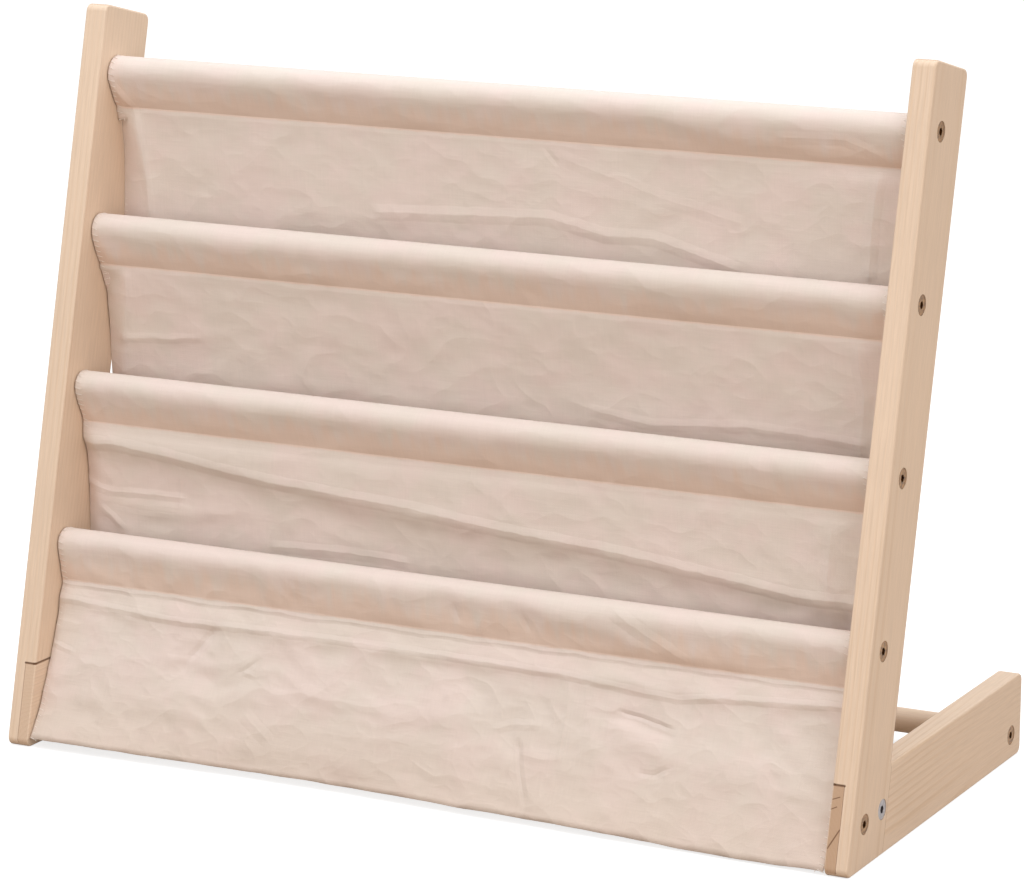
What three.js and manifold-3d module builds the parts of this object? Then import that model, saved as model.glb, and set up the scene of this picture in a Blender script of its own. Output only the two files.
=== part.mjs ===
// A sling bookshelf for picture books: two leaning side frames joined by round rods,
// with one long canvas sling that hangs over the rods in pockets.
// Millimetres. +X to the right, +Y to the back, +Z up, origin on the floor under the middle.
import * as THREE from 'three';
import { mergeVertices } from 'three/addons/utils/BufferGeometryUtils.js';
import Module from 'manifold-3d';

const wasm = await Module();
wasm.setup();

// Side frames: a leaning upright and a level foot from the same thickness of board
const innerWidth = 624;
const boardThickness = 17;
const uprightWidth = 60;
const uprightLength = 542;
const leanDegrees = 13.4;
const footHeight = 60;
const footLength = 327;
const edgeRounding = 4;
const cornerExtra = 1.5;
const jointGap = 0.3;

// Rods: a column of them up the uprights, and one between the feet
const rodRadius = 9;
const rodChamfer = 0.8;
const rodSocketDepth = 4;
const rodFit = 0.3;
const pocketRodCount = 4;
const bottomRodUp = 36.5;
const topRodDown = 45.5;
const rodSetback = 22;
const rearRodInset = 20;
const rearRodHeight = 17.7;

// Countersunk screws with a hex socket, one at each end of each rod
const screwLength = 45;
const shankRadius = 3;
const headRadius = 7;
const headRim = 0.8;
const headRecess = 0.3;
const screwTip = 2;
const hexRadius = 2.9;
const hexDepth = 2.6;
const hexSides = 6;
const screwClearance = 0.3;
const pilotExtra = 1.5;

// Zinc bolt and sleeve nut that hold each half-lap joint together
const lapBoltHeight = 32;
const lapBoltInset = 8.5;
const lapBoltTipRoom = 1.4;
const sleeveRadius = 4.2;
const sleeveRoom = 2.4;
const sleeveBottom = 1.6;
const nutHeadRadius = 6.2;
const nutHeadThickness = 1.4;

// Canvas sling: a sewn channel over each pocket rod and a hanging fold between two rods
const clothThickness = 1;
const channelEase = 0.8;
const seamDrop = 28;
const seamHeight = 4;
const topHemTail = 6;
const pocketDrop = 76;
const pocketClearance = 6.6;
const pocketSag = 4;
const apronPull = 5;
const leftGap = 1.2;
const rightGap = 4.8;
const creaseDepth = 4.5;
const apronRidge = 3;
const hemHeight = 8.5;
const hemFlare = 17;
const hemDip = 1.5;
const clothTouch = 0.4;

// Shares of those sizes, chosen by eye from the way the cloth hangs
const wallSetShares = [0.28, 0.68, 0.2];
const creaseStartShares = [0.72, 0.55, 0.12];
const creaseEndShares = [0.9, 0.66, 0.8];
const creaseDepthShares = [0.6, 0.4, 1];
const creaseSideShare = 0.33;
const hemFlareShares = [1, 0.85, 0.65, 0.6, 0.85, 0.95, 0.98, 1];
const ridgeDropShare = 0.16;
const apronMiddleShare = 0.55;

// Fineness of the facets
const roundSegments = 16;
const rodSegments = 24;
const bevelSegments = 3;
const cornerSegments = 2;
const tubeSegments = 6;
const foldSegments = 4;
const spanCount = 7;
const overrun = 5;

// Values that follow from the driving dimensions
const lean = THREE.MathUtils.degToRad(leanDegrees);
const upAxis = new THREE.Vector2(Math.sin(lean), Math.cos(lean));
const backAxis = new THREE.Vector2(Math.cos(lean), -Math.sin(lean));
const innerFace = innerWidth / 2;
const middlePlane = innerFace + boardThickness / 2;
const outerFace = innerFace + boardThickness;
const cornerRounding = edgeRounding + cornerExtra;
const rodPitch = (uprightLength - bottomRodUp - topRodDown) / pocketRodCount;
const pocketWidth = rodPitch * Math.sin(lean) - pocketClearance;
const headDepth = headRecess + headRim + headRadius - shankRadius;
const lapBoltLength = boardThickness - sleeveBottom - lapBoltTipRoom;
const sleeveLength = boardThickness - headDepth - sleeveRoom;
const rodHalfLength = innerFace + rodSocketDepth - jointGap;
const seamHalf = seamHeight / 2;
const halfCloth = clothThickness / 2;
const channelRadius = rodRadius + channelEase + halfCloth;

// A point of the upright in the plane of the side frame: how far up its front edge, how far behind it
function onUpright(up, back) {
  return upAxis.clone().multiplyScalar(up).addScaledVector(backAxis, back);
}

const footTopBack = new THREE.Vector2(
  footHeight * Math.tan(lean) + uprightWidth / Math.cos(lean),
  footHeight,
);
const jointFoot = new THREE.Vector2(uprightWidth / Math.cos(lean), 0);
const bottomRod = onUpright(bottomRodUp, rodSetback);
const rearRod = new THREE.Vector2(footLength - rearRodInset, rearRodHeight);
const lapBolt = onUpright(
  (lapBoltHeight + (uprightWidth - lapBoltInset) * Math.sin(lean)) / Math.cos(lean),
  uprightWidth - lapBoltInset,
);
const pocketRods = [];
for (let i = 0; i < pocketRodCount; i += 1) {
  pocketRods.push(onUpright(bottomRodUp + (pocketRodCount - i) * rodPitch, rodSetback));
}

const wood = new THREE.MeshStandardMaterial({ color: 0xe3c4a2, roughness: 0.6, metalness: 0 });
const rodWood = new THREE.MeshStandardMaterial({ color: 0xdcb88f, roughness: 0.65, metalness: 0 });
const canvas = new THREE.MeshStandardMaterial({ color: 0xdfcdbd, roughness: 0.95, metalness: 0 });
const bronze = new THREE.MeshStandardMaterial({ color: 0x8a6a45, roughness: 0.35, metalness: 0.9 });
const zinc = new THREE.MeshStandardMaterial({ color: 0xa9a7a4, roughness: 0.3, metalness: 0.95 });

// Turns a closed geometry into a solid that can be cut and joined
function solidOf(geometry) {
  const bare = geometry.clone();
  bare.deleteAttribute('normal');
  bare.deleteAttribute('uv');
  const merged = mergeVertices(bare);
  const corners = [];
  const index = merged.index.array;
  for (let i = 0; i < index.length; i += 3) {
    const [a, b, c] = [index[i], index[i + 1], index[i + 2]];
    if (a !== b && b !== c && c !== a) {
      corners.push(a, b, c);
    }
  }
  return new wasm.Manifold(new wasm.Mesh({
    numProp: 3,
    vertProperties: new Float32Array(merged.attributes.position.array),
    triVerts: new Uint32Array(corners),
  }));
}

function namedMesh(name, solid, material) {
  const result = solid.getMesh();
  const geometry = new THREE.BufferGeometry();
  geometry.setAttribute('position', new THREE.BufferAttribute(result.vertProperties, 3));
  geometry.setIndex(new THREE.BufferAttribute(result.triVerts, 1));
  const flat = geometry.toNonIndexed();
  flat.computeVertexNormals();
  const mesh = new THREE.Mesh(flat, material);
  mesh.name = name;
  return mesh;
}

// Lays a shape drawn in the side frame's plane across the bookshelf, from one X to another
function acrossX(geometry, fromX) {
  const toRowAxes = new THREE.Matrix4().makeBasis(
    new THREE.Vector3(0, 1, 0),
    new THREE.Vector3(0, 0, 1),
    new THREE.Vector3(1, 0, 0),
  );
  return geometry.applyMatrix4(toRowAxes).translate(fromX, 0, 0);
}

function slab(points, fromX, toX) {
  const flat = new THREE.ExtrudeGeometry(new THREE.Shape(points), {
    depth: toX - fromX,
    bevelEnabled: false,
  });
  return solidOf(acrossX(flat, fromX));
}

// An outline with its corners given an arc where they have a radius
function roundedOutline(corners) {
  const shape = new THREE.Shape();
  corners.forEach(({ point, radius }, i) => {
    if (radius === 0) {
      shape.lineTo(point.x, point.y);
      return;
    }
    const before = corners[(i + corners.length - 1) % corners.length].point;
    const after = corners[(i + 1) % corners.length].point;
    const toBefore = before.clone().sub(point).normalize();
    const toAfter = after.clone().sub(point).normalize();
    const halfAngle = Math.acos(toBefore.dot(toAfter)) / 2;
    const tangent = radius / Math.tan(halfAngle);
    const start = point.clone().addScaledVector(toBefore, tangent);
    const end = point.clone().addScaledVector(toAfter, tangent);
    const inward = toBefore.clone().add(toAfter).normalize();
    const centre = point.clone().addScaledVector(inward, radius / Math.sin(halfAngle));
    const startAngle = Math.atan2(start.y - centre.y, start.x - centre.x);
    const endAngle = Math.atan2(end.y - centre.y, end.x - centre.x);
    shape.absarc(centre.x, centre.y, radius, startAngle, endAngle, false);
  });
  return shape;
}

// A body turned round an axis that runs out through the side frame, at a point of its plane.
// The profile holds pairs of radius and depth below the outer face, deepest first.
function turnedFromOuterFace(profile, place, side) {
  const points = profile.map(([radius, depth]) => new THREE.Vector2(radius, -depth));
  const body = new THREE.LatheGeometry(points, roundSegments);
  body.rotateZ(-side * Math.PI / 2);
  body.translate(side * outerFace, place.x, place.y);
  return solidOf(body);
}

// Countersunk head and shank; ease makes the same shape wider, for its hole
function screwProfile(length, ease) {
  const top = ease > 0 ? -overrun : headRecess;
  const tip = ease > 0 ? 0 : screwTip;
  return [
    [0, length],
    [shankRadius + ease - tip / 2, length],
    [shankRadius + ease, length - tip],
    [shankRadius + ease, headDepth + ease],
    [headRadius + ease, headRecess + headRim + ease],
    [headRadius + ease, top],
    [0, top],
  ];
}

function hexSocket(place, side) {
  const socket = new THREE.CylinderGeometry(hexRadius, hexRadius, hexDepth + overrun, hexSides);
  socket.rotateZ(-side * Math.PI / 2);
  socket.translate(
    side * (outerFace - headRecess - hexDepth / 2 + overrun / 2),
    place.x,
    place.y,
  );
  return solidOf(socket);
}

function socketScrew(length, place, side) {
  return turnedFromOuterFace(screwProfile(length, 0), place, side)
    .subtract(hexSocket(place, side));
}

// Hole for one rod: countersink and clearance from outside, round socket from inside
function rodHole(place, side) {
  const inside = boardThickness - rodSocketDepth;
  const socket = [
    [0, boardThickness + overrun],
    [rodRadius + rodFit, boardThickness + overrun],
    [rodRadius + rodFit, inside],
    [0, inside],
  ];
  return turnedFromOuterFace(screwProfile(boardThickness, screwClearance), place, side)
    .add(turnedFromOuterFace(socket, place, side));
}

// Hole for the lap bolt: countersink from outside, sleeve and nut head from inside
function lapBoltHole(side) {
  const sleeveStart = boardThickness - sleeveLength - screwClearance;
  const headStart = boardThickness - nutHeadThickness - screwClearance;
  const nutHole = [
    [0, boardThickness + overrun],
    [nutHeadRadius + screwClearance, boardThickness + overrun],
    [nutHeadRadius + screwClearance, headStart],
    [sleeveRadius + screwClearance, headStart],
    [sleeveRadius + screwClearance, sleeveStart],
    [0, sleeveStart],
  ];
  return turnedFromOuterFace(screwProfile(lapBoltLength, screwClearance), lapBolt, side)
    .add(turnedFromOuterFace(nutHole, lapBolt, side));
}

function sleeveNut(side) {
  const flange = boardThickness - nutHeadThickness;
  const start = boardThickness - sleeveLength;
  const bore = shankRadius + screwClearance;
  const profile = [
    [0, boardThickness],
    [nutHeadRadius, boardThickness],
    [nutHeadRadius, flange],
    [sleeveRadius, flange],
    [sleeveRadius, start],
    [bore, start],
    [bore, boardThickness - sleeveBottom],
    [0, boardThickness - sleeveBottom],
  ];
  return turnedFromOuterFace(profile, lapBolt, side);
}

// The whole side frame as one board outline with rounded edges, drilled for its fasteners
function drilledSideFrame(side) {
  const outline = roundedOutline([
    { point: new THREE.Vector2(0, 0), radius: cornerRounding },
    { point: new THREE.Vector2(footLength, 0), radius: cornerRounding },
    { point: new THREE.Vector2(footLength, footHeight), radius: cornerRounding },
    { point: footTopBack, radius: 0 },
    { point: onUpright(uprightLength, uprightWidth), radius: cornerRounding },
    { point: onUpright(uprightLength, 0), radius: cornerRounding },
  ]);
  const board = new THREE.ExtrudeGeometry(outline, {
    depth: boardThickness - 2 * edgeRounding,
    bevelThickness: edgeRounding,
    bevelSize: edgeRounding,
    bevelOffset: -edgeRounding,
    bevelSegments,
    curveSegments: cornerSegments,
  });
  const startX = side * middlePlane - boardThickness / 2 + edgeRounding;
  let frame = solidOf(acrossX(board, startX));
  for (const place of [...pocketRods, bottomRod, rearRod]) {
    frame = frame.subtract(rodHole(place, side));
  }
  return frame.subtract(lapBoltHole(side));
}

// Inner half of the board's thickness, from beyond its inner face to near its middle
function innerHalf(points, side, gap) {
  const reach = [side * (innerFace - overrun), side * (middlePlane + gap)];
  return slab(points, Math.min(...reach), Math.max(...reach));
}

function outerHalf(points, side, gap) {
  const reach = [side * (middlePlane - gap), side * (outerFace + overrun)];
  return slab(points, Math.min(...reach), Math.max(...reach));
}

function bothHalves(points, side) {
  const reach = [side * (innerFace - overrun), side * (outerFace + overrun)];
  return slab(points, Math.min(...reach), Math.max(...reach));
}

// The upright keeps the outer half of the lap, so the foot's whole body and its inner half go
function upright(side, frame) {
  const far = footLength + overrun;
  const footBody = [
    new THREE.Vector2(jointFoot.x - overrun * Math.tan(lean), -overrun),
    new THREE.Vector2(far, -overrun),
    new THREE.Vector2(far, footHeight + overrun),
    footTopBack,
  ];
  const shoulder = footHeight + jointGap;
  const lapHalf = [
    new THREE.Vector2(-overrun, -overrun),
    new THREE.Vector2(far, -overrun),
    new THREE.Vector2(far, shoulder),
    new THREE.Vector2(-overrun, shoulder),
  ];
  return frame
    .subtract(bothHalves(footBody, side))
    .subtract(innerHalf(lapHalf, side, jointGap / 2));
}

// The foot keeps the inner half of the lap, and its outer half butts against the upright
function foot(side, frame) {
  const reach = uprightLength;
  const above = [
    new THREE.Vector2(-overrun, footHeight),
    footTopBack,
    new THREE.Vector2(footTopBack.x + reach, footHeight + reach),
    new THREE.Vector2(-overrun, footHeight + reach),
  ];
  const inFront = [
    new THREE.Vector2(-overrun, -overrun),
    new THREE.Vector2(jointFoot.x + jointGap - overrun * Math.tan(lean), -overrun),
    new THREE.Vector2(footTopBack.x + jointGap + overrun * Math.tan(lean), footHeight + overrun),
    new THREE.Vector2(-overrun, footHeight + overrun),
  ];
  return frame
    .subtract(bothHalves(above, side))
    .subtract(outerHalf(inFront, side, jointGap / 2));
}

// A dowel with chamfered ends and a pilot hole for a screw in each
function rod(place) {
  const pilotRadius = shankRadius + screwClearance;
  const endDepth = outerFace - rodHalfLength;
  const pilotDepth = screwLength - endDepth + pilotExtra;
  const end = [
    [0, rodHalfLength - pilotDepth],
    [pilotRadius, rodHalfLength - pilotDepth],
    [pilotRadius, rodHalfLength],
    [rodRadius - rodChamfer, rodHalfLength],
    [rodRadius, rodHalfLength - rodChamfer],
  ];
  const lower = end.map(([radius, along]) => new THREE.Vector2(radius, -along));
  const upper = end.map(([radius, along]) => new THREE.Vector2(radius, along)).reverse();
  const dowel = new THREE.LatheGeometry([...lower, ...upper], rodSegments);
  dowel.rotateZ(-Math.PI / 2);
  dowel.translate(0, place.x, place.y);
  return solidOf(dowel);
}

// Angle below level at which a straight run of cloth leaves the channel's round
function leavingAngle(place, side) {
  const reach = Math.hypot(place.x, place.y);
  return Math.asin(channelRadius / reach) - Math.atan2(side * place.x, -place.y);
}

// The middle line of the cloth over one pocket rod, from its back leg to its front leg
function channelLine(i) {
  const centre = pocketRods[i];
  const last = i === pocketRodCount - 1;
  const seam = new THREE.Vector2(centre.x - (last ? apronPull : 0), centre.y - seamDrop);
  const backLeg = new THREE.Vector2(seam.x + halfCloth, seam.y + seamHalf);
  const frontLeg = new THREE.Vector2(seam.x - halfCloth, seam.y + seamHalf);
  const backAngle = leavingAngle(backLeg.clone().sub(centre), 1);
  const frontAngle = leavingAngle(frontLeg.clone().sub(centre), -1);
  const round = [];
  for (let j = 0; j <= tubeSegments; j += 1) {
    const turn = -backAngle + (Math.PI + backAngle + frontAngle) * j / tubeSegments;
    round.push(new THREE.Vector2(
      centre.x + channelRadius * Math.cos(turn),
      centre.y + channelRadius * Math.sin(turn),
    ));
  }
  return { seam, backLeg, frontLeg, round };
}

// The cloth between two rods: down the back wall, round the hanging fold and up the front wall
function pocketLine(i, widthShare, from, to) {
  const front = pocketRods[i + 1];
  const kind = i % wallSetShares.length;
  const wall = new THREE.Vector2(pocketRods[i].x + wallSetShares[kind] * pocketWidth, front.y);
  const creaseAt = THREE.MathUtils.lerp(
    creaseStartShares[kind],
    creaseEndShares[kind],
    widthShare,
  );
  const bulge = creaseDepth * creaseDepthShares[kind];
  const shares = [creaseAt / 2, creaseAt, (1 + creaseAt) / 2];
  const line = shares.map((share) => {
    const place = from.clone().lerp(wall, share);
    const forward = share === creaseAt ? bulge : bulge * creaseSideShare;
    return new THREE.Vector2(place.x - forward, place.y);
  });
  line.push(wall);
  const sag = pocketSag * Math.sin(Math.PI * widthShare);
  const radius = pocketWidth / 2;
  const centre = new THREE.Vector2(wall.x - radius, front.y - pocketDrop + radius - sag);
  for (let j = 0; j <= foldSegments; j += 1) {
    const turn = -Math.PI * j / foldSegments;
    line.push(new THREE.Vector2(
      centre.x + radius * Math.cos(turn),
      centre.y + radius * Math.sin(turn),
    ));
  }
  line.push(line.at(-1).clone().add(to).divideScalar(2));
  return line;
}

// The apron below the last seam: it lies on the bottom rod and flares out to its hem
function apronLine(widthShare, from) {
  const step = widthShare * (hemFlareShares.length - 1);
  const before = hemFlareShares[Math.floor(step)];
  const after = hemFlareShares[Math.ceil(step)];
  const flare = hemFlare * THREE.MathUtils.lerp(before, after, step % 1);
  const onRod = new THREE.Vector2(
    bottomRod.x - rodRadius - clothTouch - halfCloth,
    bottomRod.y + seamHalf,
  );
  const ridge = from.clone().lerp(onRod, ridgeDropShare);
  ridge.x -= apronRidge;
  const middle = from.clone().lerp(onRod, apronMiddleShare);
  const hem = new THREE.Vector2(onRod.x - flare, hemHeight - hemDip * widthShare);
  return [ridge, middle, onRod, hem];
}

// Moves an open line sideways by a distance, to its right if positive
function besideLine(line, distance) {
  return line.map((point, i) => {
    const arriving = point.clone().sub(line[i - 1] ?? point).normalize();
    const leaving = (line[i + 1] ?? point).clone().sub(point).normalize();
    const way = arriving.clone().add(leaving).normalize();
    const narrowing = way.dot(i === 0 ? leaving : arriving);
    return new THREE.Vector2(
      point.x + way.y * distance / narrowing,
      point.y - way.x * distance / narrowing,
    );
  });
}

// One cross-section of the sling: its outer boundary and the channels that the rods pass
function slingSection(widthShare) {
  const channels = pocketRods.map((centre, i) => channelLine(i));
  const bookSide = [];
  const backSide = [];
  const holes = [];
  channels.forEach(({ seam, backLeg, frontLeg, round }, i) => {
    const below = seam.y - seamHalf;
    const backFoot = new THREE.Vector2(backLeg.x, below);
    const frontFoot = new THREE.Vector2(frontLeg.x, below);
    const over = [backFoot, backLeg, ...round, frontLeg, frontFoot];
    const inside = besideLine(over, -halfCloth).slice(2, -2);
    holes.push([...inside, new THREE.Vector2(seam.x, seam.y + seamHalf)].reverse());
    const last = i === pocketRodCount - 1;
    const nextFoot = last ? null : new THREE.Vector2(
      channels[i + 1].seam.x + halfCloth,
      channels[i + 1].seam.y - seamHalf,
    );
    const line = last
      ? apronLine(widthShare, frontFoot)
      : pocketLine(i, widthShare, frontFoot, nextFoot);
    const whole = last ? [frontFoot, ...line] : [frontFoot, ...line, nextFoot];
    const end = last ? whole.length : -1;
    if (i === 0) {
      const down = line[0].clone().sub(frontFoot).setLength(topHemTail);
      const tail = [backFoot.clone().add(down), backFoot];
      bookSide.push(besideLine(tail, halfCloth)[0]);
      backSide.push(besideLine(tail, -halfCloth)[0]);
    }
    bookSide.push(...besideLine(over, halfCloth), ...besideLine(whole, halfCloth).slice(1, end));
    backSide.push(new THREE.Vector2(seam.x, below));
    backSide.push(...besideLine(whole, -halfCloth).slice(1, end));
  });
  return { contour: [...bookSide, ...backSide.reverse()], holes };
}

// The sling as one closed skin: a cross-section at each station, walls between, caps at the ends
function sling() {
  const left = -innerFace + leftGap;
  const right = innerFace - rightGap;
  const positions = [];
  const corners = [];
  const sections = [];
  for (let i = 0; i <= spanCount; i += 1) {
    const section = slingSection(i / spanCount);
    const x = THREE.MathUtils.lerp(left, right, i / spanCount);
    sections.push(section);
    for (const point of [...section.contour, ...section.holes.flat()]) {
      positions.push(x, point.x, point.y);
    }
  }
  const perSection = positions.length / 3 / sections.length;
  const loops = [sections[0].contour.length, ...sections[0].holes.map((hole) => hole.length)];
  for (let i = 0; i < spanCount; i += 1) {
    let first = i * perSection;
    for (const count of loops) {
      for (let j = 0; j < count; j += 1) {
        const here = first + j;
        const next = first + (j + 1) % count;
        corners.push(here, next, next + perSection);
        corners.push(here, next + perSection, here + perSection);
      }
      first += count;
    }
  }
  const endOffset = spanCount * perSection;
  const startCap = THREE.ShapeUtils.triangulateShape(sections[0].contour, sections[0].holes);
  const endCap = THREE.ShapeUtils.triangulateShape(
    sections[spanCount].contour,
    sections[spanCount].holes,
  );
  for (const [a, b, c] of startCap) {
    corners.push(c, b, a);
  }
  for (const [a, b, c] of endCap) {
    corners.push(endOffset + a, endOffset + b, endOffset + c);
  }
  const skin = new THREE.BufferGeometry();
  skin.setAttribute('position', new THREE.Float32BufferAttribute(positions, 3));
  skin.setIndex(corners);
  return solidOf(skin);
}

const shelf = new THREE.Group();

const sides = [['left', -1], ['right', 1]];
for (const [word, side] of sides) {
  const frame = drilledSideFrame(side);
  shelf.add(namedMesh(`${word}_upright`, upright(side, frame), wood));
  shelf.add(namedMesh(`${word}_foot`, foot(side, frame), wood));
  shelf.add(namedMesh(`${word}_lap_bolt`, socketScrew(lapBoltLength, lapBolt, side), zinc));
  shelf.add(namedMesh(`${word}_lap_nut`, sleeveNut(side), zinc));
  pocketRods.forEach((place, i) => {
    const screw = socketScrew(screwLength, place, side);
    shelf.add(namedMesh(`${word}_pocket_rod_screw_${i + 1}`, screw, bronze));
  });
  shelf.add(namedMesh(
    `${word}_bottom_rod_screw`,
    socketScrew(screwLength, bottomRod, side),
    bronze,
  ));
  shelf.add(namedMesh(`${word}_rear_rod_screw`, socketScrew(screwLength, rearRod, side), bronze));
}
pocketRods.forEach((place, i) => {
  shelf.add(namedMesh(`pocket_rod_${i + 1}`, rod(place), rodWood));
});
shelf.add(namedMesh('bottom_rod', rod(bottomRod), rodWood));
shelf.add(namedMesh('rear_rod', rod(rearRod), rodWood));
shelf.add(namedMesh('canvas_sling', sling(), canvas));

// The assembly, shifted so that the origin lies on the floor under the middle of its box
const box = new THREE.Box3().setFromObject(shelf);
const middle = box.getCenter(new THREE.Vector3());
shelf.position.set(-middle.x, -middle.y, -box.min.z);

const bookshelf = new THREE.Group();
bookshelf.add(shelf);
export default bookshelf;
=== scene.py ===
import math

import bmesh
import bpy
import numpy as np
from mathutils import Euler, Matrix, Vector


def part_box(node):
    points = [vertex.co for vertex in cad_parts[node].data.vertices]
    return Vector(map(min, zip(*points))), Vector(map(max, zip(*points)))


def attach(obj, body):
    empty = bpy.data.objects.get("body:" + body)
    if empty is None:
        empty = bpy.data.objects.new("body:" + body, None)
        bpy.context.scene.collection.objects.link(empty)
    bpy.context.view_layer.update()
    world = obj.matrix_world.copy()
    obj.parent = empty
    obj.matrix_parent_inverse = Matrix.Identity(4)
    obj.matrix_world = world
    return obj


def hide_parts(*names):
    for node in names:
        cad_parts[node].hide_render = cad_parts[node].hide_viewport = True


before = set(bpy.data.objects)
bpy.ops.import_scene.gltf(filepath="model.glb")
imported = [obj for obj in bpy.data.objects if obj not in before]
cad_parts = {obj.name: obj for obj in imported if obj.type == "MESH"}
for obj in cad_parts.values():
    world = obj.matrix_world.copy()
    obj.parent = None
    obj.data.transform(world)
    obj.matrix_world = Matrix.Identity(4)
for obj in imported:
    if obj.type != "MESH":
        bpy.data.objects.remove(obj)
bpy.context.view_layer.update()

# Camera: where it stands, how it is turned, and its lens, from the photograph's perspective
camera_place = Vector((1.311, -2.58, 0.8836))
camera_turn = math.radians(26.97)
camera_dip = math.radians(12.775)
camera_roll = math.radians(0.19)
camera_lens = 146.24
camera_reach = 20
sensor_width = 36

# The sloping side frames
lean = math.radians(13.4)
foot_height = 0.06
foot_length = 0.327
upright_length = 0.542
upright_width = 0.06
front_y = -0.1643
shoulder_y = front_y + foot_height * math.tan(lean)
board_inner = 0.312
board_middle = 0.3205
board_outer = 0.329
packed_rounding = 0.004
planed_rounding = 0.0015
corner_rounding = 0.0055
outline_slack = 0.0002
merge_distance = 0.00002
least_length = 0.000000001
smooth_angle = math.radians(42)
flat_angle = math.radians(1)
# The line that shows round the half lap, where the foot's shoulder meets the upright
upright_depth = 0.0617
shoulder_gap = 0.0012
# Short cracks in the end of the right foot: from, to, width
end_cracks = [
    ((0.3132, -0.1598, 0.019), (0.3202, -0.1569, 0.0315), 0.0007),
    ((0.3125, -0.1538, 0.044), (0.3165, -0.1533, 0.046), 0.0005),
    ((0.313, -0.1523, 0.0505), (0.318, -0.1518, 0.0525), 0.0005),
]
# Turns that bring the length of an upright, a foot or a rod on to Z
upright_turn = (lean, 0, 0)
foot_turn = (math.pi / 2, 0, 0)
rod_turn = (0, math.pi / 2, 0)
# Where the middle of the growth rings passes: aside of a board's middle, and from front to back
pith_aside = 0.05
foot_pith_share = 0.6
upright_pith_y = -0.16
upright_pith_step = 0.035
foot_pith_y = 0.012
rod_pith = (0.0, 0.03, 0)

# Pine: growth rings that drift, fine fibres, paler and darker patches, darker end grain
pine_pale = (0.82, 0.635, 0.485, 1.0)
pine_late = (0.67, 0.45, 0.27, 1.0)
pine_end = (0.47, 0.28, 0.165, 1.0)
crack_colour = (0.16, 0.075, 0.035, 1.0)
ring_width = 0.0036
ring_start_level = 0.25
ring_end_level = 0.3
ring_levels = [(0.12, 0.0), (0.55, 0.12), (0.86, 1.0), (0.95, 0.75)]
drift_scale = 11.0
drift_stretch = (1, 1, 0.12)
fibre_scale = 45.0
fibre_noise = (4.0, 0.6)
fibre_stretch = (28, 28, 1)
fibre_limits = (0.3, 0.72)
fibre_tones = (0.93, 1.05)
patch_scale = 17.0
patch_stretch = (1, 1, 0.35)
patch_limits = (0.35, 0.68)
patch_strengths = (0.25, 1.0)
shade_scale = 6.0
shade_limits = (0.3, 0.7)
shade_tones = (0.96, 1.03)
end_face_limits = (0.75, 0.97)
late_relief_share = 0.5
fibre_relief_share = 0.6
pine_relief = 0.00022
pine_relief_strength = 0.6
pine_roughness = 0.6
pine_specular = 0.2
crack_core_share = 0.3
crack_darkness = 0.85
upright_late_share = 0.32
foot_late_shares = {"left": 0.25, "right": 0.45}
rod_late_share = 0.35
plain_end_share = 0.55
foot_end_shares = {"left": 0.3, "right": 0.7}
plain_wave = 0.006
foot_wave = 0.024
foot_ring_share = 0.7

# Canvas: its section over the rods, through the folds and down to the hem, and its grid
pocket_rod_count = 4
cloth_thickness = 0.0009
channel_ease = 0.0008
seam_drop = 0.028
seam_height = 0.004
top_hem_tail = 0.006
pocket_drop = 0.076
pocket_width = 0.02
pocket_sag = 0.004
apron_pull = 0.005
hem_height = 0.0085
hem_flare = 0.017
hem_drop = 0.0066
hem_unevenness = 0.0005
hem_waves = 24
hem_slow_waves = 7
wall_pull_share = 0.6
apron_pull_shares = [0.33, 0.7]
hem_bend_share = 0.12
hem_pull_share = 0.4
rod_touch = 0.0004
column_pitch = 0.0031
edge_column_shares = [0.3, 0.65, 1.5]
left_gap = -0.0003
right_reach = 0.0024
tail_rows = 2
back_leg_rows = 2
leg_rows = 6
round_rows = 11
seen_wall_rows = 19
deep_wall_rows = 5
wall_rows = seen_wall_rows + deep_wall_rows
seen_wall_share = 0.56
fold_rows = 8
front_wall_rows = 3
apron_rows = 37
hem_rows = 9
wall_set_shares = [0.28, 0.68, 0.2]
line_steps = 20
line_rounding = 9
hem_flare_shares = [1, 0.85, 0.65, 0.6, 0.85, 0.95, 0.98, 1]
hem_drop_shares = [0.18, 0.23, 0.27, 0.32, 0.35, 0.38, 0.41, 0.46, 0.76, 1, 0.82]
# Soft unevenness: size of the waves across and down the cloth, and their height
lattice_cells = 64
lattice_gain = 1.5
broad_wave = (0.11, 0.07)
broad_height = 0.0011
wave_bend = 0.05
wave_bend_share = 0.5
middle_wave = (0.045, 0.032)
middle_height = 0.0021
small_wave = (0.019, 0.014)
small_height = 0.0006
crumple_shares = [0.4, 0.45, 0.6, 0.85]
band_wave_share = 0.7
fold_wave_share = 0.35
crease_roundness = 1.3
turn_roundness = 1.15
# Slack over the rods: how far the front and the back of a band stand off
front_slack = 0.0008
back_slack = 0.0006
# Small puckers along each seam, and the soft gathers that stand down a band
pucker_width = 0.009
pucker_length = 0.03
pucker_height = 0.0006
pucker_reach = 0.014
gather_heights = [0.0008, 0.001, 0.002, 0.0027]
gather_width = 0.013
gather_length = 0.05
gather_spread = 0.09
gather_limits = (-0.1, 0.6)
# First numbers of the random draws, and the step from one rod to the next
hem_seed = 31
band_seeds = (40, 7)
panel_seeds = (60, 11)
band_pucker_seed = 90
panel_pucker_seed = 120
gather_seed = 150
# Stretches over which the unevenness comes and goes: from the rod's middle, above and below a
# seam, up from a fold's end, and round the bottom rod
front_fade = (-0.012, 0.004)
back_fade = (0.0, 0.01)
seam_fade = (0.008, 0.001)
below_seam_fade = (0.002, 0.009)
deep_end = 0.004
deep_fade = (0.035, 0.005)
bottom_rod_fade = (0.006, 0.02)

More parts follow.
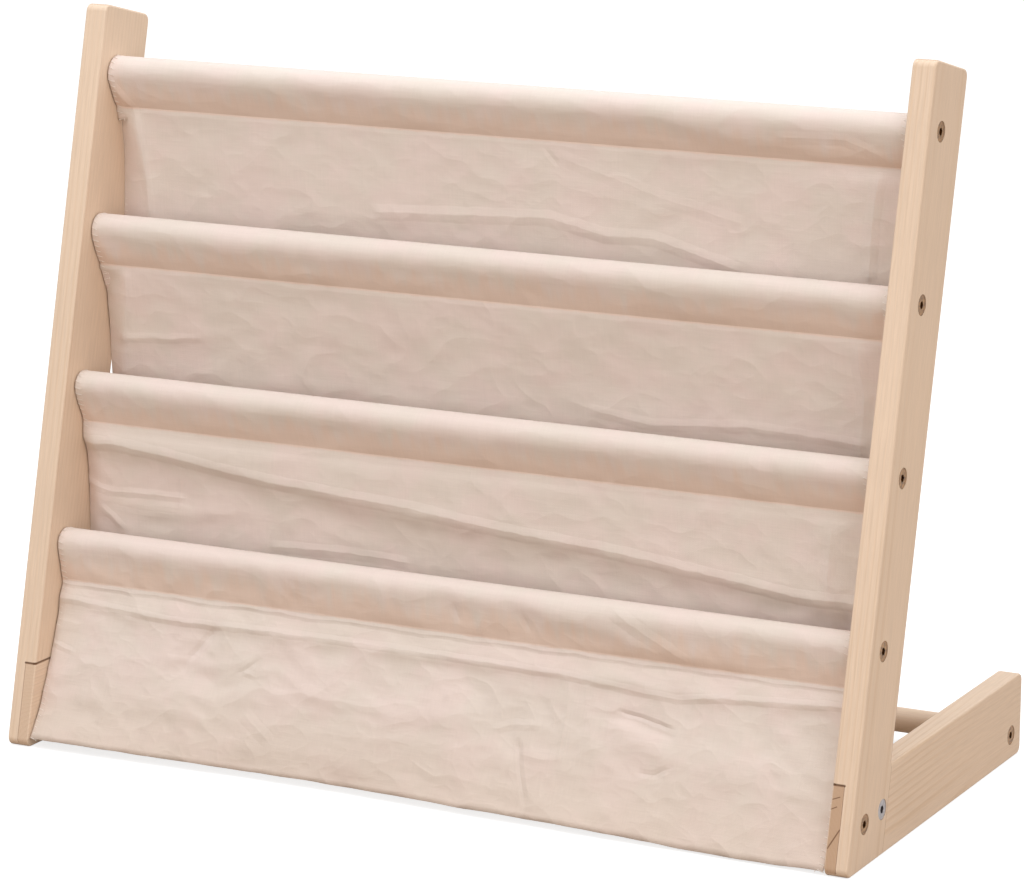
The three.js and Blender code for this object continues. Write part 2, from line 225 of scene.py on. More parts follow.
# Left edge of each panel, turned back past a crease: below the seam, in from the edge, depth
side_turns = [
    [(0.0, 0.0143, 0.006), (0.03, 0.019, 0.007), (0.055, 0.0248, 0.005), (0.09, 0.0248, 0.0015)],
    [(0.0, 0.022, 0.005), (0.02, 0.021, 0.006), (0.05, 0.016, 0.0045), (0.09, 0.011, 0.003)],
    [(0.0, 0.013, 0.0045), (0.04, 0.011, 0.0045), (0.09, 0.009, 0.003)],
    [(0.0, 0.006, 0.0012), (0.13, 0.005, 0.001)],
]
# Right edge of the apron, which draws away from the board near the floor
curl_width = 0.02
curl_out = 0.0016
curl_top = 0.11
curl_full = 0.02

# Creases of the canvas, each a line of places (across from the middle, below the seam),
# with its height and how far it fades above and below. A negative height is a valley.
wall_creases = [
    [
        (
            [(-0.135, 0.068), (-0.05, 0.06), (0.048, 0.058), (0.118, 0.063), (0.2, 0.08)],
            0.0019, 0.03, 0.009,
        ),
        ([(-0.297, 0.0), (-0.292, 0.03), (-0.286, 0.055), (-0.286, 0.09)], 0.0026, 0.006, 0.012),
        ([(0.02, 0.02), (0.1, 0.034), (0.19, 0.03)], 0.0006, 0.012, 0.012),
        ([(0.289, -0.01), (0.281, 0.041), (0.279, 0.1)], 0.0022, 0.024, 0.05),
    ],
    [
        ([(-0.289, 0.0), (-0.29, 0.02), (-0.295, 0.05), (-0.3, 0.09)], 0.002, 0.006, 0.012),
        ([(-0.297, 0.054), (-0.262, 0.052), (-0.229, 0.048)], 0.0009, 0.006, 0.003),
        ([(-0.21, 0.082), (-0.12, 0.074), (-0.04, 0.08)], 0.0008, 0.012, 0.005),
        ([(0.08, 0.07), (0.13, 0.076), (0.2, 0.07), (0.29, 0.074)], 0.0011, 0.012, 0.006),
        ([(0.283, -0.01), (0.288, 0.04), (0.284, 0.1)], 0.0018, 0.02, 0.04),
    ],
    [
        (
            [(-0.312, 0.0095), (-0.302, 0.012), (-0.23, 0.017), (-0.103, 0.032), (-0.035, 0.0385),
             (0.079, 0.0456), (0.186, 0.055), (0.289, 0.064), (0.309, 0.066)],
            0.0056, 0.04, 0.009,
        ),
        ([(-0.3, 0.058), (-0.27, 0.0605), (-0.234, 0.0606), (-0.19, 0.056)], 0.0018, 0.009, 0.004),
        ([(-0.299, 0.063), (-0.287, 0.07), (-0.276, 0.078)], 0.0018, 0.006, 0.004),
        ([(-0.31, 0.044), (-0.3, 0.05), (-0.292, 0.053)], 0.0012, 0.004, 0.004),
        ([(0.286, 0.062), (0.292, 0.073), (0.29, 0.085)], -0.002, 0.005, 0.005),
        ([(0.28, -0.01), (0.278, 0.0454), (0.28, 0.06)], 0.0024, 0.024, 0.05),
    ],
    [
        (
            [(-0.309, 0.0125), (-0.2, 0.0155), (0.002, 0.0175), (0.06, 0.0155), (0.103, 0.0145),
             (0.182, 0.017), (0.24, 0.0155), (0.305, 0.0118)],
            0.0029, 0.012, 0.005,
        ),
        ([(-0.179, 0.02), (-0.19, 0.034), (-0.2, 0.046)], -0.002, 0.005, 0.005),
        ([(-0.178, 0.05), (-0.1686, 0.059), (-0.142, 0.0475)], -0.0012, 0.004, 0.005),
        ([(-0.26, 0.02), (-0.243, 0.02), (-0.239, 0.033)], 0.001, 0.005, 0.005),
        ([(0.1426, 0.0374), (0.16, 0.0395), (0.185, 0.0448)], -0.0016, 0.003, 0.004),
        ([(0.104, 0.022), (0.105, 0.05), (0.102, 0.085)], 0.0009, 0.006, 0.004),
        ([(0.066, 0.055), (0.07, 0.065), (0.084, 0.09), (0.09, 0.115)], -0.0016, 0.005, 0.007),
        ([(0.155, 0.072), (0.167, 0.0765), (0.181, 0.071)], -0.0014, 0.006, 0.004),
        ([(-0.12, 0.06), (-0.09, 0.052), (-0.03, 0.058), (0.03, 0.05)], 0.0012, 0.012, 0.009),
        ([(0.15, 0.05), (0.22, 0.066), (0.28, 0.07)], 0.0014, 0.014, 0.01),
        ([(-0.3, 0.075), (-0.24, 0.07), (-0.18, 0.082)], 0.001, 0.014, 0.01),
    ],
]
# The same for each band over a rod, with places below the rod's middle
band_creases = [
    [
        ([(-0.311, 0.004), (-0.304, 0.018), (-0.2965, 0.028)], 0.0016, 0.005, 0.01),
        ([(0.14, 0.006), (0.19, 0.013), (0.25, 0.02), (0.3, 0.02)], 0.0014, 0.01, 0.006),
    ],
    [([(-0.311, 0.008), (-0.3, 0.02), (-0.292, 0.028)], 0.001, 0.006, 0.008)],
    [([(-0.311, 0.012), (-0.3, 0.022)], 0.001, 0.006, 0.008)],
    [
        ([(-0.286, 0.014), (-0.28, 0.02)], 0.0012, 0.004, 0.004),
        ([(0.0, 0.0), (0.012, 0.008), (0.008, 0.018)], -0.0014, 0.01, 0.01),
        ([(0.055, 0.0), (0.07, 0.01), (0.066, 0.02)], -0.0012, 0.01, 0.01),
        ([(0.09, 0.004), (0.13, 0.008), (0.17, 0.018), (0.23, 0.026)], 0.0018, 0.012, 0.008),
    ],
]

# Relief of the cloth's material: fine folds of crumpled cloth, each with its scale and height
relief_folds = [(10.0, 0.0026), (24.0, 0.0018), (55.0, 0.00045)]
relief_stretch = 1.4
relief_bend = 0.012
relief_bend_scale = 30.0
band_relief_share = 0.6
band_relief_fade = (0.03, 0.01)
sway_scale = 90.0
slow_sway_scale = 34.0

# Crisp lines in that relief: panel, places (across, below the seam), height, width.
# Places above the seam are on the band over the rod.
crisp_creases = [
    (0, [(-0.318, -0.03), (-0.302, -0.008), (-0.2965, 0.0), (-0.29, 0.035), (-0.286, 0.08)], 0.0007, 0.005),
    (0, [(-0.1, 0.06), (0.04, 0.053), (0.083, 0.062), (0.119, 0.061), (0.186, 0.079)], 0.0008, 0.006),
    (0, [(0.05, 0.01), (0.084, 0.0195), (0.124, 0.032), (0.189, 0.0464)], 0.0004, 0.006),
    (0, [(0.037, 0.0033), (0.049, 0.0172)], -0.0005, 0.003),
    (0, [(0.287, 0.002), (0.281, 0.041), (0.279, 0.08)], 0.0009, 0.006),
    (0, [(0.213, -0.018), (0.264, -0.02), (0.293, -0.009)], 0.0005, 0.005),
    (1, [(-0.289, 0.0), (-0.29, 0.02), (-0.297, 0.06)], 0.0006, 0.005),
    (1, [(-0.297, 0.054), (-0.262, 0.052), (-0.229, 0.048)], 0.0005, 0.004),
    (1, [(0.08, 0.07), (0.13, 0.076), (0.2, 0.07), (0.29, 0.074)], 0.0005, 0.005),
    (1, [(0.283, 0.0), (0.288, 0.04), (0.284, 0.085)], 0.0006, 0.006),
    (
        2,
        [(-0.318, 0.0158), (-0.284, 0.013), (-0.236, 0.0174), (-0.189, 0.0238), (-0.143, 0.028),
         (-0.041, 0.034), (0.029, 0.0412), (0.122, 0.0475), (0.218, 0.0577), (0.253, 0.0622),
         (0.32, 0.062)],
        0.0011, 0.006,
    ),
    (2, [(-0.32, 0.0446), (-0.291, 0.0509), (-0.262, 0.0497), (-0.225, 0.0494)], 0.0007, 0.004),
    (2, [(-0.291, 0.0595), (-0.262, 0.0626), (-0.231, 0.0611)], -0.0003, 0.004),
    (2, [(0.28, 0.01), (0.278, 0.0454), (0.28, 0.057)], 0.0008, 0.006),
    (2, [(-0.299, 0.0624), (-0.287, 0.0718), (-0.278, 0.0792)], 0.0007, 0.004),
    (2, [(-0.157, 0.0776), (-0.1, 0.0748), (-0.042, 0.0764)], 0.0008, 0.005),
    (2, [(-0.229, 0.0229), (-0.232, 0.0612)], 0.0003, 0.003),
    (
        3,
        [(-0.32, 0.012), (-0.268, 0.0153), (-0.213, 0.0186), (-0.133, 0.0162), (-0.033, 0.0155),
         (0.047, 0.0165), (0.102, 0.0172), (0.156, 0.0215), (0.187, 0.023), (0.217, 0.0181),
         (0.32, 0.0115)],
        0.0007, 0.0035,
    ),
    (3, [(-0.177, 0.0189), (-0.185, 0.0302), (-0.197, 0.0454)], -0.0009, 0.004),
    (3, [(-0.138, 0.0365), (-0.148, 0.0464), (-0.156, 0.049)], -0.0006, 0.003),
    (3, [(-0.152, 0.0469), (-0.137, 0.0501)], 0.0006, 0.003),
    (3, [(-0.32, 0.044), (-0.29, 0.0515)], 0.0006, 0.003),
    (3, [(-0.146, 0.0752), (-0.117, 0.0954)], 0.0005, 0.006),
    (3, [(0.143, 0.0363), (0.165, 0.039), (0.187, 0.0443)], -0.001, 0.0026),
    (3, [(0.106, 0.0256), (0.105, 0.078)], 0.0003, 0.0025),
    (3, [(0.072, 0.0644), (0.078, 0.0854), (0.087, 0.1095)], -0.0008, 0.0035),
    (3, [(0.052, 0.0615), (0.066, 0.056), (0.089, 0.054)], 0.0006, 0.004),
    (3, [(0.164, 0.076), (0.178, 0.0758), (0.191, 0.0687)], -0.0007, 0.0035),
    (3, [(0.133, -0.034), (0.153, -0.023), (0.193, -0.0035)], 0.0008, 0.006),
    (3, [(0.012, -0.024), (0.018, -0.009)], -0.0007, 0.005),
    (3, [(0.066, -0.022), (0.074, -0.007)], -0.0007, 0.005),
    (3, [(0.036, -0.02), (0.031, -0.006)], 0.0006, 0.005),
]
crease_fade = 0.006
crease_margin = 0.005
crease_wander = 0.0022
# A fold pressed into the cloth beside each seam
seam_ridges = [0.0001, 0.0001, 0.0001, 0.0006]
seam_ridge_width = 0.0026
seam_ridge_drop_share = 0.7
seam_wander = 0.005

# Loose ends of thread: panel, then places (across, below the seam, off the cloth)
loose_threads = [
    (
        3,
        [(-0.118, -0.0176, 0.0004), (-0.11, -0.0138, 0.0011), (-0.106, -0.0075, 0.0012),
         (-0.102, 0.0037, 0.0004)],
    ),
    (
        3,
        [(0.304, 0.072, 0.0004), (0.308, 0.0745, 0.002), (0.3105, 0.078, 0.003),
         (0.309, 0.082, 0.0034)],
    ),
    (3, [(0.3035, 0.079, 0.0004), (0.3085, 0.081, 0.0025), (0.3115, 0.0805, 0.004)]),
    (3, [(0.303, 0.088, 0.0004), (0.308, 0.0885, 0.002), (0.3112, 0.0875, 0.0035)]),
    (3, [(0.302, 0.0915, 0.0004), (0.306, 0.0935, 0.002), (0.309, 0.0925, 0.0035)]),
    (3, [(-0.306, 0.048, 0.0003), (-0.302, 0.05, 0.0009), (-0.298, 0.0505, 0.0004)]),
    (0, [(0.297, -0.002, 0.0003), (0.301, 0.0, 0.001), (0.303, 0.004, 0.0006)]),
    (0, [(0.3, -0.004, 0.0003), (0.304, -0.001, 0.001), (0.3055, 0.002, 0.0008)]),
]

# Canvas: a plain weave with thicker threads and nubs, with painted shade, redder and streaked, low on each
# band, and darker towards the hem
thread_pitch = 0.0008
canvas_warm = (0.806, 0.674, 0.616, 1.0)
canvas_cool = (0.776, 0.676, 0.604, 1.0)
canvas_shade = (0.68, 0.55, 0.46, 1.0)
# Colour of the painted shade on the lower part of each band
band_shade_colour = (0.81, 0.64, 0.545, 1.0)
canvas_roughness = 0.92
canvas_specular = 0.2
canvas_sheen = 0.12
canvas_sheen_roughness = 0.5
cloud_scale = 22.0
cloud_noise = (3.0, 0.55)
cloud_limits = (0.38, 0.64)
nub_scale = 700.0
nub_limits = (0.7, 0.8)
nub_share = 0.4
slub_stretches = [(40, 900, 1), (900, 40, 1)]
slub_noise = (3.0, 0.6)
slub_limits = (0.75, 1.25)
slub_tones = (0.98, 1.015)
slub_relief = 0.0003
slub_strength = 0.25
weave_relief_share = 0.2
weave_strength = 0.3
# The cloth is painted darker towards the hem: from and to how far below the last seam, and the share of the
# darker tone
hem_darkening = (0.04, 0.125)
hem_darkening_share = 0.6
# Painted shade on each band above its seam: how far up it reaches, how soon it starts, how strongly streaks
# break it, their stretch and its limits
band_shade_reach = 0.03
band_shade_start = 0.002
band_shade_streak = 1.2
band_shade_stretch = (110, 14, 1)
band_shade_limits = (0.1, 0.75)

# Sewing: running stitches along each seam, overcast edges, loose ends of thread
stitch_pitch = 0.0036
stitch_length = 0.0029
stitch_thread = 0.00034
stitch_sides = 6
stitch_steps = 4
stitch_sink_share = 1.2
stitch_lift_share = 0.3
stitch_inset = 2
overcast_pitch = 0.0045
overcast_depth = 0.0052
overcast_thread = 0.00022
needle_heights = [0.01, 0.1]
needle_insets = [0.006, 0.0115]
needle_length_share = 0.85
needle_thread_share = 0.8
overcast_slant = 0.3
overcast_loop_sides = 10
overcast_sides = 4
loose_thread_radius = 0.0004
thread_pale = (0.93, 0.87, 0.81, 1.0)
thread_dark = (0.84, 0.75, 0.67, 1.0)
thread_twist_scale = 2500.0
thread_relief = 0.0001
thread_relief_strength = 0.5
thread_roughness = 0.8
thread_sheen = 0.2

# Screws and the bolts of the lap joints
head_radius = 0.007
head_rim = 0.0008
head_recess = 0.0003
shank_radius = 0.003
hex_radius = 0.0029
hex_depth = 0.0026
head_vertices = 48
bronze_bright = (0.34, 0.175, 0.065, 1.0)
bronze_dark = (0.12, 0.06, 0.024, 1.0)
bronze_roughness = 0.36
zinc_bright = (0.35, 0.315, 0.31, 1.0)
zinc_dark = (0.22, 0.2, 0.2, 1.0)
zinc_roughness = 0.34
wear_scale = 420.0
wear_noise = (3.0, 0.6)
wear_limits = (0.35, 0.7)
scratch_scale = 900.0
scratch_stretch = (1, 1, 8)
scratch_limits = (0.3, 0.7)
scratch_relief = 0.00005
scratch_strength = 0.3
metal_spread = (0.06, 0.1)

# Floor and the light of the room
floor_reach = 9.0
floor_bounce = (0.34, 0.26, 0.19, 1.0)
floor_pale = (0.45, 0.45, 0.45, 1.0)
floor_glow = 0.74
room_colour = (1.0, 0.965, 0.925, 1.0)
room_level = 0.76
white = (1.0, 1.0, 1.0, 1.0)
# Lamps, which all face the shelf's middle: place, width, power, tint
lamp_aim = (0.0, 0.0, 0.25)
lamps = {
    "key": ((-0.5, -1.3, 2.6), 0.9, 20.5, (0.83, 0.92, 1.0)),
    "top": ((0.5, 0.5, 2.6), 1.6, 22, (0.79, 0.89, 1.0)),
    "right_fill": ((2.3, -1.6, 1.2), 2.0, 17, (1.0, 0.96, 0.93)),
    "front": ((-0.9, -2.9, 1.0), 2.0, 8, (1.0, 0.93, 0.9)),
}


class Tree:
    """Adds nodes to a node tree, and links a socket wherever a socket is given as a value."""

    def __init__(self, tree):
        self.tree = tree

    def add(self, kind, inputs=None, output=0, **settings):
        made = self.tree.nodes.new(kind)
        for name, value in settings.items():
            setattr(made, name, value)
        for key, value in (inputs or {}).items():
            if isinstance(value, bpy.types.NodeSocket):
                self.tree.links.new(value, made.inputs[key])
            else:
                made.inputs[key].default_value = value
        return made.outputs[output] if len(made.outputs) else None

    def math(self, operation, first, second=0.0, third=0.0):
        return self.add("ShaderNodeMath", {0: first, 1: second, 2: third}, operation=operation)

    def vector(self, operation, first, second=(0, 0, 0)):
        output = "Value" if operation in ("DOT_PRODUCT", "LENGTH", "DISTANCE") else "Vector"
        return self.add("ShaderNodeVectorMath", {0: first, 1: second}, output, operation=operation)

    def scaled(self, vector, factor):
        return self.add("ShaderNodeVectorMath", {0: vector, "Scale": factor}, operation="SCALE")

    def noise(self, place, scale, detail=2.0, roughness=0.5):
        inputs = {"Vector": place, "Scale": scale, "Detail": detail, "Roughness": roughness}
        return self.add("ShaderNodeTexNoise", inputs)

    def map_range(self, value, low, high, to_low=0.0, to_high=1.0, smooth=False):
        """The value brought from one range to another. Noise lies mostly from 0.3 to 0.7."""
        kind = "SMOOTHSTEP" if smooth else "LINEAR"
        inputs = {0: value, 1: low, 2: high, 3: to_low, 4: to_high}
        return self.add("ShaderNodeMapRange", inputs, interpolation_type=kind)

    def mix(self, factor, first, second):
        """One colour mixed into another. The numbers are those of the node's colour sockets."""
        return self.add("ShaderNodeMix", {0: factor, 6: first, 7: second}, 2, data_type="RGBA")


def new_material(name):
    material = bpy.data.materials.new(name)
    material.use_nodes = True
    material.node_tree.nodes.clear()
    return material, Tree(material.node_tree)


def finish_surface(tree, **inputs):
    """The Principled shader with these inputs, on the material's output."""
    keys = {name.replace("_", " "): value for name, value in inputs.items()}
    shader = tree.add("ShaderNodeBsdfPrincipled", keys)
    tree.add("ShaderNodeOutputMaterial", {"Surface": shader})


def bump(tree, height, distance, strength=1.0, normal=None):
    inputs = {"Height": height, "Distance": distance, "Strength": strength}
    if normal is not None:
        inputs["Normal"] = normal
    return tree.add("ShaderNodeBump", inputs)


def ring_ramp(tree, ring):
    """Share of dark late wood across one growth ring."""
    ramp_out = tree.add("ShaderNodeValToRGB", {"Fac": ring})
    ramp = ramp_out.node.color_ramp
    first, last = ramp.elements
    first.position, last.position = 0.0, 1.0
    first.color = (ring_start_level,) * 3 + (1.0,)
    last.color = (ring_end_level,) * 3 + (1.0,)
    for position, level in ring_levels:
        ramp.elements.new(position).color = (level,) * 3 + (1.0,)
    return ramp_out


def pine_material(
    name, turn, pith, late_share, cracks=(), wave=plain_wave, end_share=plain_end_share, ring_share=1.0
):
    """Growth rings round a pith outside the piece. turn brings its length on to Z, and pith is
    where the rings' middle passes, across it."""
    material, tree = new_material(name)
    place = tree.add("ShaderNodeTexCoord", output="Object")
    along = tree.add("ShaderNodeMapping", {0: place, "Rotation": turn}, vector_type="POINT")
    drift = tree.add(
        "ShaderNodeTexNoise",
        {"Vector": tree.vector("MULTIPLY", along, drift_stretch), "Scale": drift_scale, "Detail": 2.0},
        output="Color",
    )
    bent = tree.vector("ADD", along, tree.vector("MULTIPLY", drift, (wave, wave, 0)))
    across = tree.vector("MULTIPLY", tree.vector("SUBTRACT", bent, pith), (1, 1, 0))
    radius = tree.vector("LENGTH", across)
    ring = tree.math("FRACT", tree.math("DIVIDE", radius, ring_width * ring_share))
    late = ring_ramp(tree, ring)
    fibres = tree.noise(tree.vector("MULTIPLY", along, fibre_stretch), fibre_scale, *fibre_noise)
    patches = tree.noise(tree.vector("MULTIPLY", along, patch_stretch), patch_scale)
    strength = tree.map_range(patches, *patch_limits, *patch_strengths, smooth=True)
    share = tree.math("MULTIPLY", tree.math("MULTIPLY", late, strength), late_share)
    tone = tree.mix(share, pine_pale, pine_late)
    tone = tree.scaled(tone, tree.map_range(fibres, *fibre_limits, *fibre_tones))
    shade = tree.map_range(tree.noise(along, shade_scale), *shade_limits, *shade_tones)
    tone = tree.scaled(tone, shade)
    outward = tree.add("ShaderNodeTexCoord", output="Normal")
    turned = tree.add("ShaderNodeMapping", {0: outward, "Rotation": turn}, vector_type="VECTOR")
    facing = tree.math("ABSOLUTE", tree.vector("DOT_PRODUCT", turned, (0, 0, 1)))
    end_face = tree.map_range(facing, *end_face_limits, 0.0, end_share, smooth=True)
    tone = tree.mix(end_face, tone, pine_end)
    for start, end, width in cracks:
        tone = tree.mix(line_mark(tree, place, start, end, width), tone, crack_colour)
    late_height = tree.math("MULTIPLY", share, late_relief_share)
    height = tree.math("MULTIPLY_ADD", fibres, fibre_relief_share, late_height)
    finish_surface(
        tree,
        Base_Color=tone,
        Roughness=pine_roughness,
        Normal=bump(tree, height, pine_relief, pine_relief_strength),
        Specular_IOR_Level=pine_specular,
    )
    return material


def line_distance(tree, place, start, end):
    """How far each place is from the straight line between start and end."""
    start, end = Vector(start), Vector(end)
    way = end - start
    off = tree.vector("SUBTRACT", place, start)
    along = tree.vector("DOT_PRODUCT", off, tuple(way / way.length_squared))
    share = tree.math("MINIMUM", tree.math("MAXIMUM", along, 0.0), 1.0)
    return tree.vector("DISTANCE", off, tree.scaled(tuple(way), share))


def line_mark(tree, place, start, end, width):
    """A line that fades out at width from its middle."""
    distance = line_distance(tree, place, start, end)
    core = width * crack_core_share
    return tree.map_range(distance, core, width, crack_darkness, 0.0, smooth=True)


def canvas_material(seam_downs, layers):
    """A plain weave with thicker threads here and there. It reads the cloth's own map in metres,
    and the layers of creases kept on its mesh."""
    material, tree = new_material("canvas")
    place = tree.add("ShaderNodeUVMap", uv_map="cloth")
    split = tree.add("ShaderNodeSeparateXYZ", {"Vector": place}).node
    across, down = split.outputs["X"], split.outputs["Y"]
    waves = []
    for value in (across, down):
        turn = tree.math("MULTIPLY", value, math.pi / thread_pitch)
        waves.append(tree.math("ABSOLUTE", tree.math("SINE", turn)))
    over = tree.add("ShaderNodeTexChecker", {"Vector": place, "Scale": 1 / thread_pitch}, "Fac")
    under = tree.math("SUBTRACT", 1.0, over)
    weave = tree.math(
        "ADD", tree.math("MULTIPLY", waves[0], over), tree.math("MULTIPLY", waves[1], under)
    )
    slubs = [
        tree.noise(tree.vector("MULTIPLY", place, stretch), 1.0, *slub_noise)
        for stretch in slub_stretches
    ]
    slub = tree.math("ADD", *slubs)
    creases = relief_of_creases(tree, place, down, seam_downs, layers)
    clouds = tree.noise(place, cloud_scale, *cloud_noise)
    clouds = tree.map_range(clouds, *cloud_limits, smooth=True)
    tone = tree.mix(clouds, canvas_cool, canvas_warm)
    # Painted shade, redder than the cloth, on the lower part of each band above its seam
    tone = tree.mix(painted_band_shade(tree, place, down, seam_downs), tone, band_shade_colour)
    # Painted darker towards the hem
    hem_from, hem_to = [seam_downs[-1] + below for below in hem_darkening]
    hem = tree.map_range(down, hem_from, hem_to, 0.0, hem_darkening_share, smooth=True)
    tone = tree.mix(hem, tone, canvas_shade)
    nubs = tree.map_range(tree.noise(place, nub_scale), *nub_limits, 0.0, nub_share)
    tone = tree.mix(nubs, tone, canvas_shade)
    tone = tree.scaled(tone, tree.map_range(slub, *slub_limits, *slub_tones))
    fine = bump(tree, weave, thread_pitch * weave_relief_share, weave_strength)
    rough = bump(tree, slub, slub_relief, slub_strength, fine)
    finish_surface(
        tree,
        Base_Color=tone,
        Roughness=canvas_roughness,
        Normal=bump(tree, creases, 1.0, 1.0, rough),
        Specular_IOR_Level=canvas_specular,
        Sheen_Weight=canvas_sheen,
        Sheen_Roughness=canvas_sheen_roughness,
    )
    return material


def painted_band_shade(tree, place, down, seam_downs):
    """Share of painted shade, redder than the cloth, above each seam, drawn out into streaks that stand for
    the shade where the band gathers.
    """
    near = -1.0
    for seam in seam_downs:
        above = tree.math("SUBTRACT", seam, down)
        fading = tree.math("MULTIPLY_ADD", above, -1 / band_shade_reach, 1.0)
        starting = tree.math("MULTIPLY", above, 1 / band_shade_start)
        near = tree.math("MAXIMUM", near, tree.math("MINIMUM", fading, starting))
    streaks = tree.noise(tree.vector("MULTIPLY", place, band_shade_stretch), 1.0)
    share = tree.math("MULTIPLY_ADD", tree.math("SUBTRACT", streaks, 0.5), band_shade_streak, near)
    return tree.map_range(share, *band_shade_limits, smooth=True)


def relief_of_creases(tree, place, down, seam_downs, layers):
    """Height in metres of the crisp creases, the pressed seams and the crumpled ground between."""
    warp = tree.add(
        "ShaderNodeTexNoise", {"Vector": place, "Scale": relief_bend_scale}, output="Color"
    )
    bent = tree.vector("ADD", place, tree.vector("MULTIPLY", warp, (relief_bend, relief_bend, 0)))
    above, below = band_relief_fade
    last_seam = seam_downs[-1]
    apron = tree.map_range(down, last_seam - above, last_seam + below, band_relief_share, 1.0)
    total = 0.0
    for scale, height in relief_folds:
        stretch = (scale, scale * relief_stretch, 1)
        wave = tree.noise(tree.vector("MULTIPLY", bent, stretch), 1.0, 1.0)
        fold = tree.math("ABSOLUTE", tree.math("SUBTRACT", wave, 0.5))
        total = tree.math("MULTIPLY_ADD", fold, -height * 2, total)
    total = tree.math("MULTIPLY", total, apron)
    sway = tree.math("SUBTRACT", tree.noise(place, sway_scale), 0.5)
    slow_sway = tree.math("SUBTRACT", tree.noise(place, slow_sway_scale), 0.5)
    for i in range(layers):
        kept = tree.add("ShaderNodeAttribute", output="Vector", attribute_name=f"crease_{i}")
        parts = tree.add("ShaderNodeSeparateXYZ", {"Vector": kept}).node.outputs
        away = tree.math("ABSOLUTE", tree.math("MULTIPLY_ADD", sway, crease_wander, parts["X"]))
        share = tree.math("SUBTRACT", 1.0, tree.math("DIVIDE", away, parts["Z"]))
        share = tree.math("MAXIMUM", share, 0.0)
        total = tree.math("MULTIPLY_ADD", share, parts["Y"], total)
    for seam, height in zip(seam_downs, seam_ridges):
        off = tree.math("SUBTRACT", down, seam + seam_ridge_width * seam_ridge_drop_share)
        off = tree.math("ABSOLUTE", tree.math("MULTIPLY_ADD", slow_sway, seam_wander, off))
        slope = tree.math("MULTIPLY_ADD", off, -height / seam_ridge_width, height)
        total = tree.math("ADD", total, tree.math("MAXIMUM", slope, 0.0))
    return total


def thread_material():
    material, tree = new_material("sewing_thread")
    place = tree.add("ShaderNodeTexCoord", output="Object")
    twist = tree.noise(place, thread_twist_scale)
    finish_surface(
        tree,
        Base_Color=tree.mix(twist, thread_dark, thread_pale),
        Roughness=thread_roughness,
        Normal=bump(tree, twist, thread_relief, thread_relief_strength),
        Sheen_Weight=thread_sheen,
    )
    return material


def metal_material(name, bright, dark, roughness):
    material, tree = new_material(name)
    place = tree.add("ShaderNodeTexCoord", output="Object")
    wear = tree.map_range(tree.noise(place, wear_scale, *wear_noise), *wear_limits, smooth=True)
    scratches = tree.noise(tree.vector("MULTIPLY", place, scratch_stretch), scratch_scale)
    spread = (roughness - metal_spread[0], roughness + metal_spread[1])
    finish_surface(
        tree,
        Base_Color=tree.mix(wear, bright, dark),
        Metallic=1.0,
        Roughness=tree.map_range(scratches, *scratch_limits, *spread),
        Normal=bump(tree, scratches, scratch_relief, scratch_strength),
    )
    return material


def seen_rays(tree):
    """1 for rays from the camera, straight or by way of something glossy or clear."""
    rays = tree.add("ShaderNodeLightPath").node.outputs
    bright = tree.math("MAXIMUM", rays["Is Glossy Ray"], rays["Is Transmission Ray"])
    return tree.math("MAXIMUM", rays["Is Camera Ray"], bright)


def stage_material(name):
    """A warm matt floor for bounced light, which the camera sees as white with its shadows."""
    material, tree = new_material(name)
    warm = tree.add("ShaderNodeBsdfDiffuse", {"Color": floor_bounce})
    pale = tree.add("ShaderNodeBsdfDiffuse", {"Color": floor_pale})
    glow = tree.add("ShaderNodeEmission", {"Color": white, "Strength": floor_glow})
    bright = tree.add("ShaderNodeAddShader", {0: pale, 1: glow})
    surface = tree.add("ShaderNodeMixShader", {"Fac": seen_rays(tree), 1: warm, 2: bright})
    tree.add("ShaderNodeOutputMaterial", {"Surface": surface})
    return material


def new_object(name, data):
    made = bpy.data.objects.new(name, data)
    bpy.context.scene.collection.objects.link(made)
    return made


def set_material(piece, material):
    piece.data.materials.clear()
    piece.data.materials.append(material)


def merged_copy(node, name):
    """A CAD node's mesh with its doubles merged and its flat faces joined, shaded smooth."""
    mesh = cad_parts[node].data.copy()
    mesh.name = name
    work = bmesh.new()
    work.from_mesh(mesh)
    bmesh.ops.remove_doubles(work, verts=work.verts, dist=merge_distance)
    bmesh.ops.dissolve_limit(work, angle_limit=flat_angle, verts=work.verts, edges=work.edges)
    work.to_mesh(mesh)
    work.free()
    packed_normals = mesh.attributes.get("custom_normal")
    if packed_normals:
        mesh.attributes.remove(packed_normals)
    mesh.shade_smooth()
    mesh.set_sharp_from_angle(angle=smooth_angle)
    piece = new_object(name, mesh)
    weighted = piece.modifiers.new("flat_faces_stay_flat", "WEIGHTED_NORMAL")
    weighted.keep_sharp = True
    return piece


def carry(piece, slot_name, *nodes):
    """Every piece rides on the one body and stands for its CAD nodes; its slot name is not used."""
    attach(piece, "root")
    if nodes:
        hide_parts(*nodes)


def rod_middle(node):
    low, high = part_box(node)
    return Vector(((low.y + high.y) / 2, (low.z + high.z) / 2))


def frame_outline():
    """Corners of a side frame, upright and foot together, as (y, z), each with its rounding."""
    up = np.array([math.sin(lean), math.cos(lean)])
    back = np.array([math.cos(lean), -math.sin(lean)])
    start = np.array([front_y, 0])
    rear = front_y + foot_length
    foot_top_y = shoulder_y + upright_width / math.cos(lean)
    top = start + up * upright_length
    return [
        (start, corner_rounding),
        (np.array([rear, 0]), corner_rounding),
        (np.array([rear, foot_height]), corner_rounding),
        (np.array([foot_top_y, foot_height]), 0),
        (top + back * upright_width, corner_rounding),
        (top, corner_rounding),
    ]


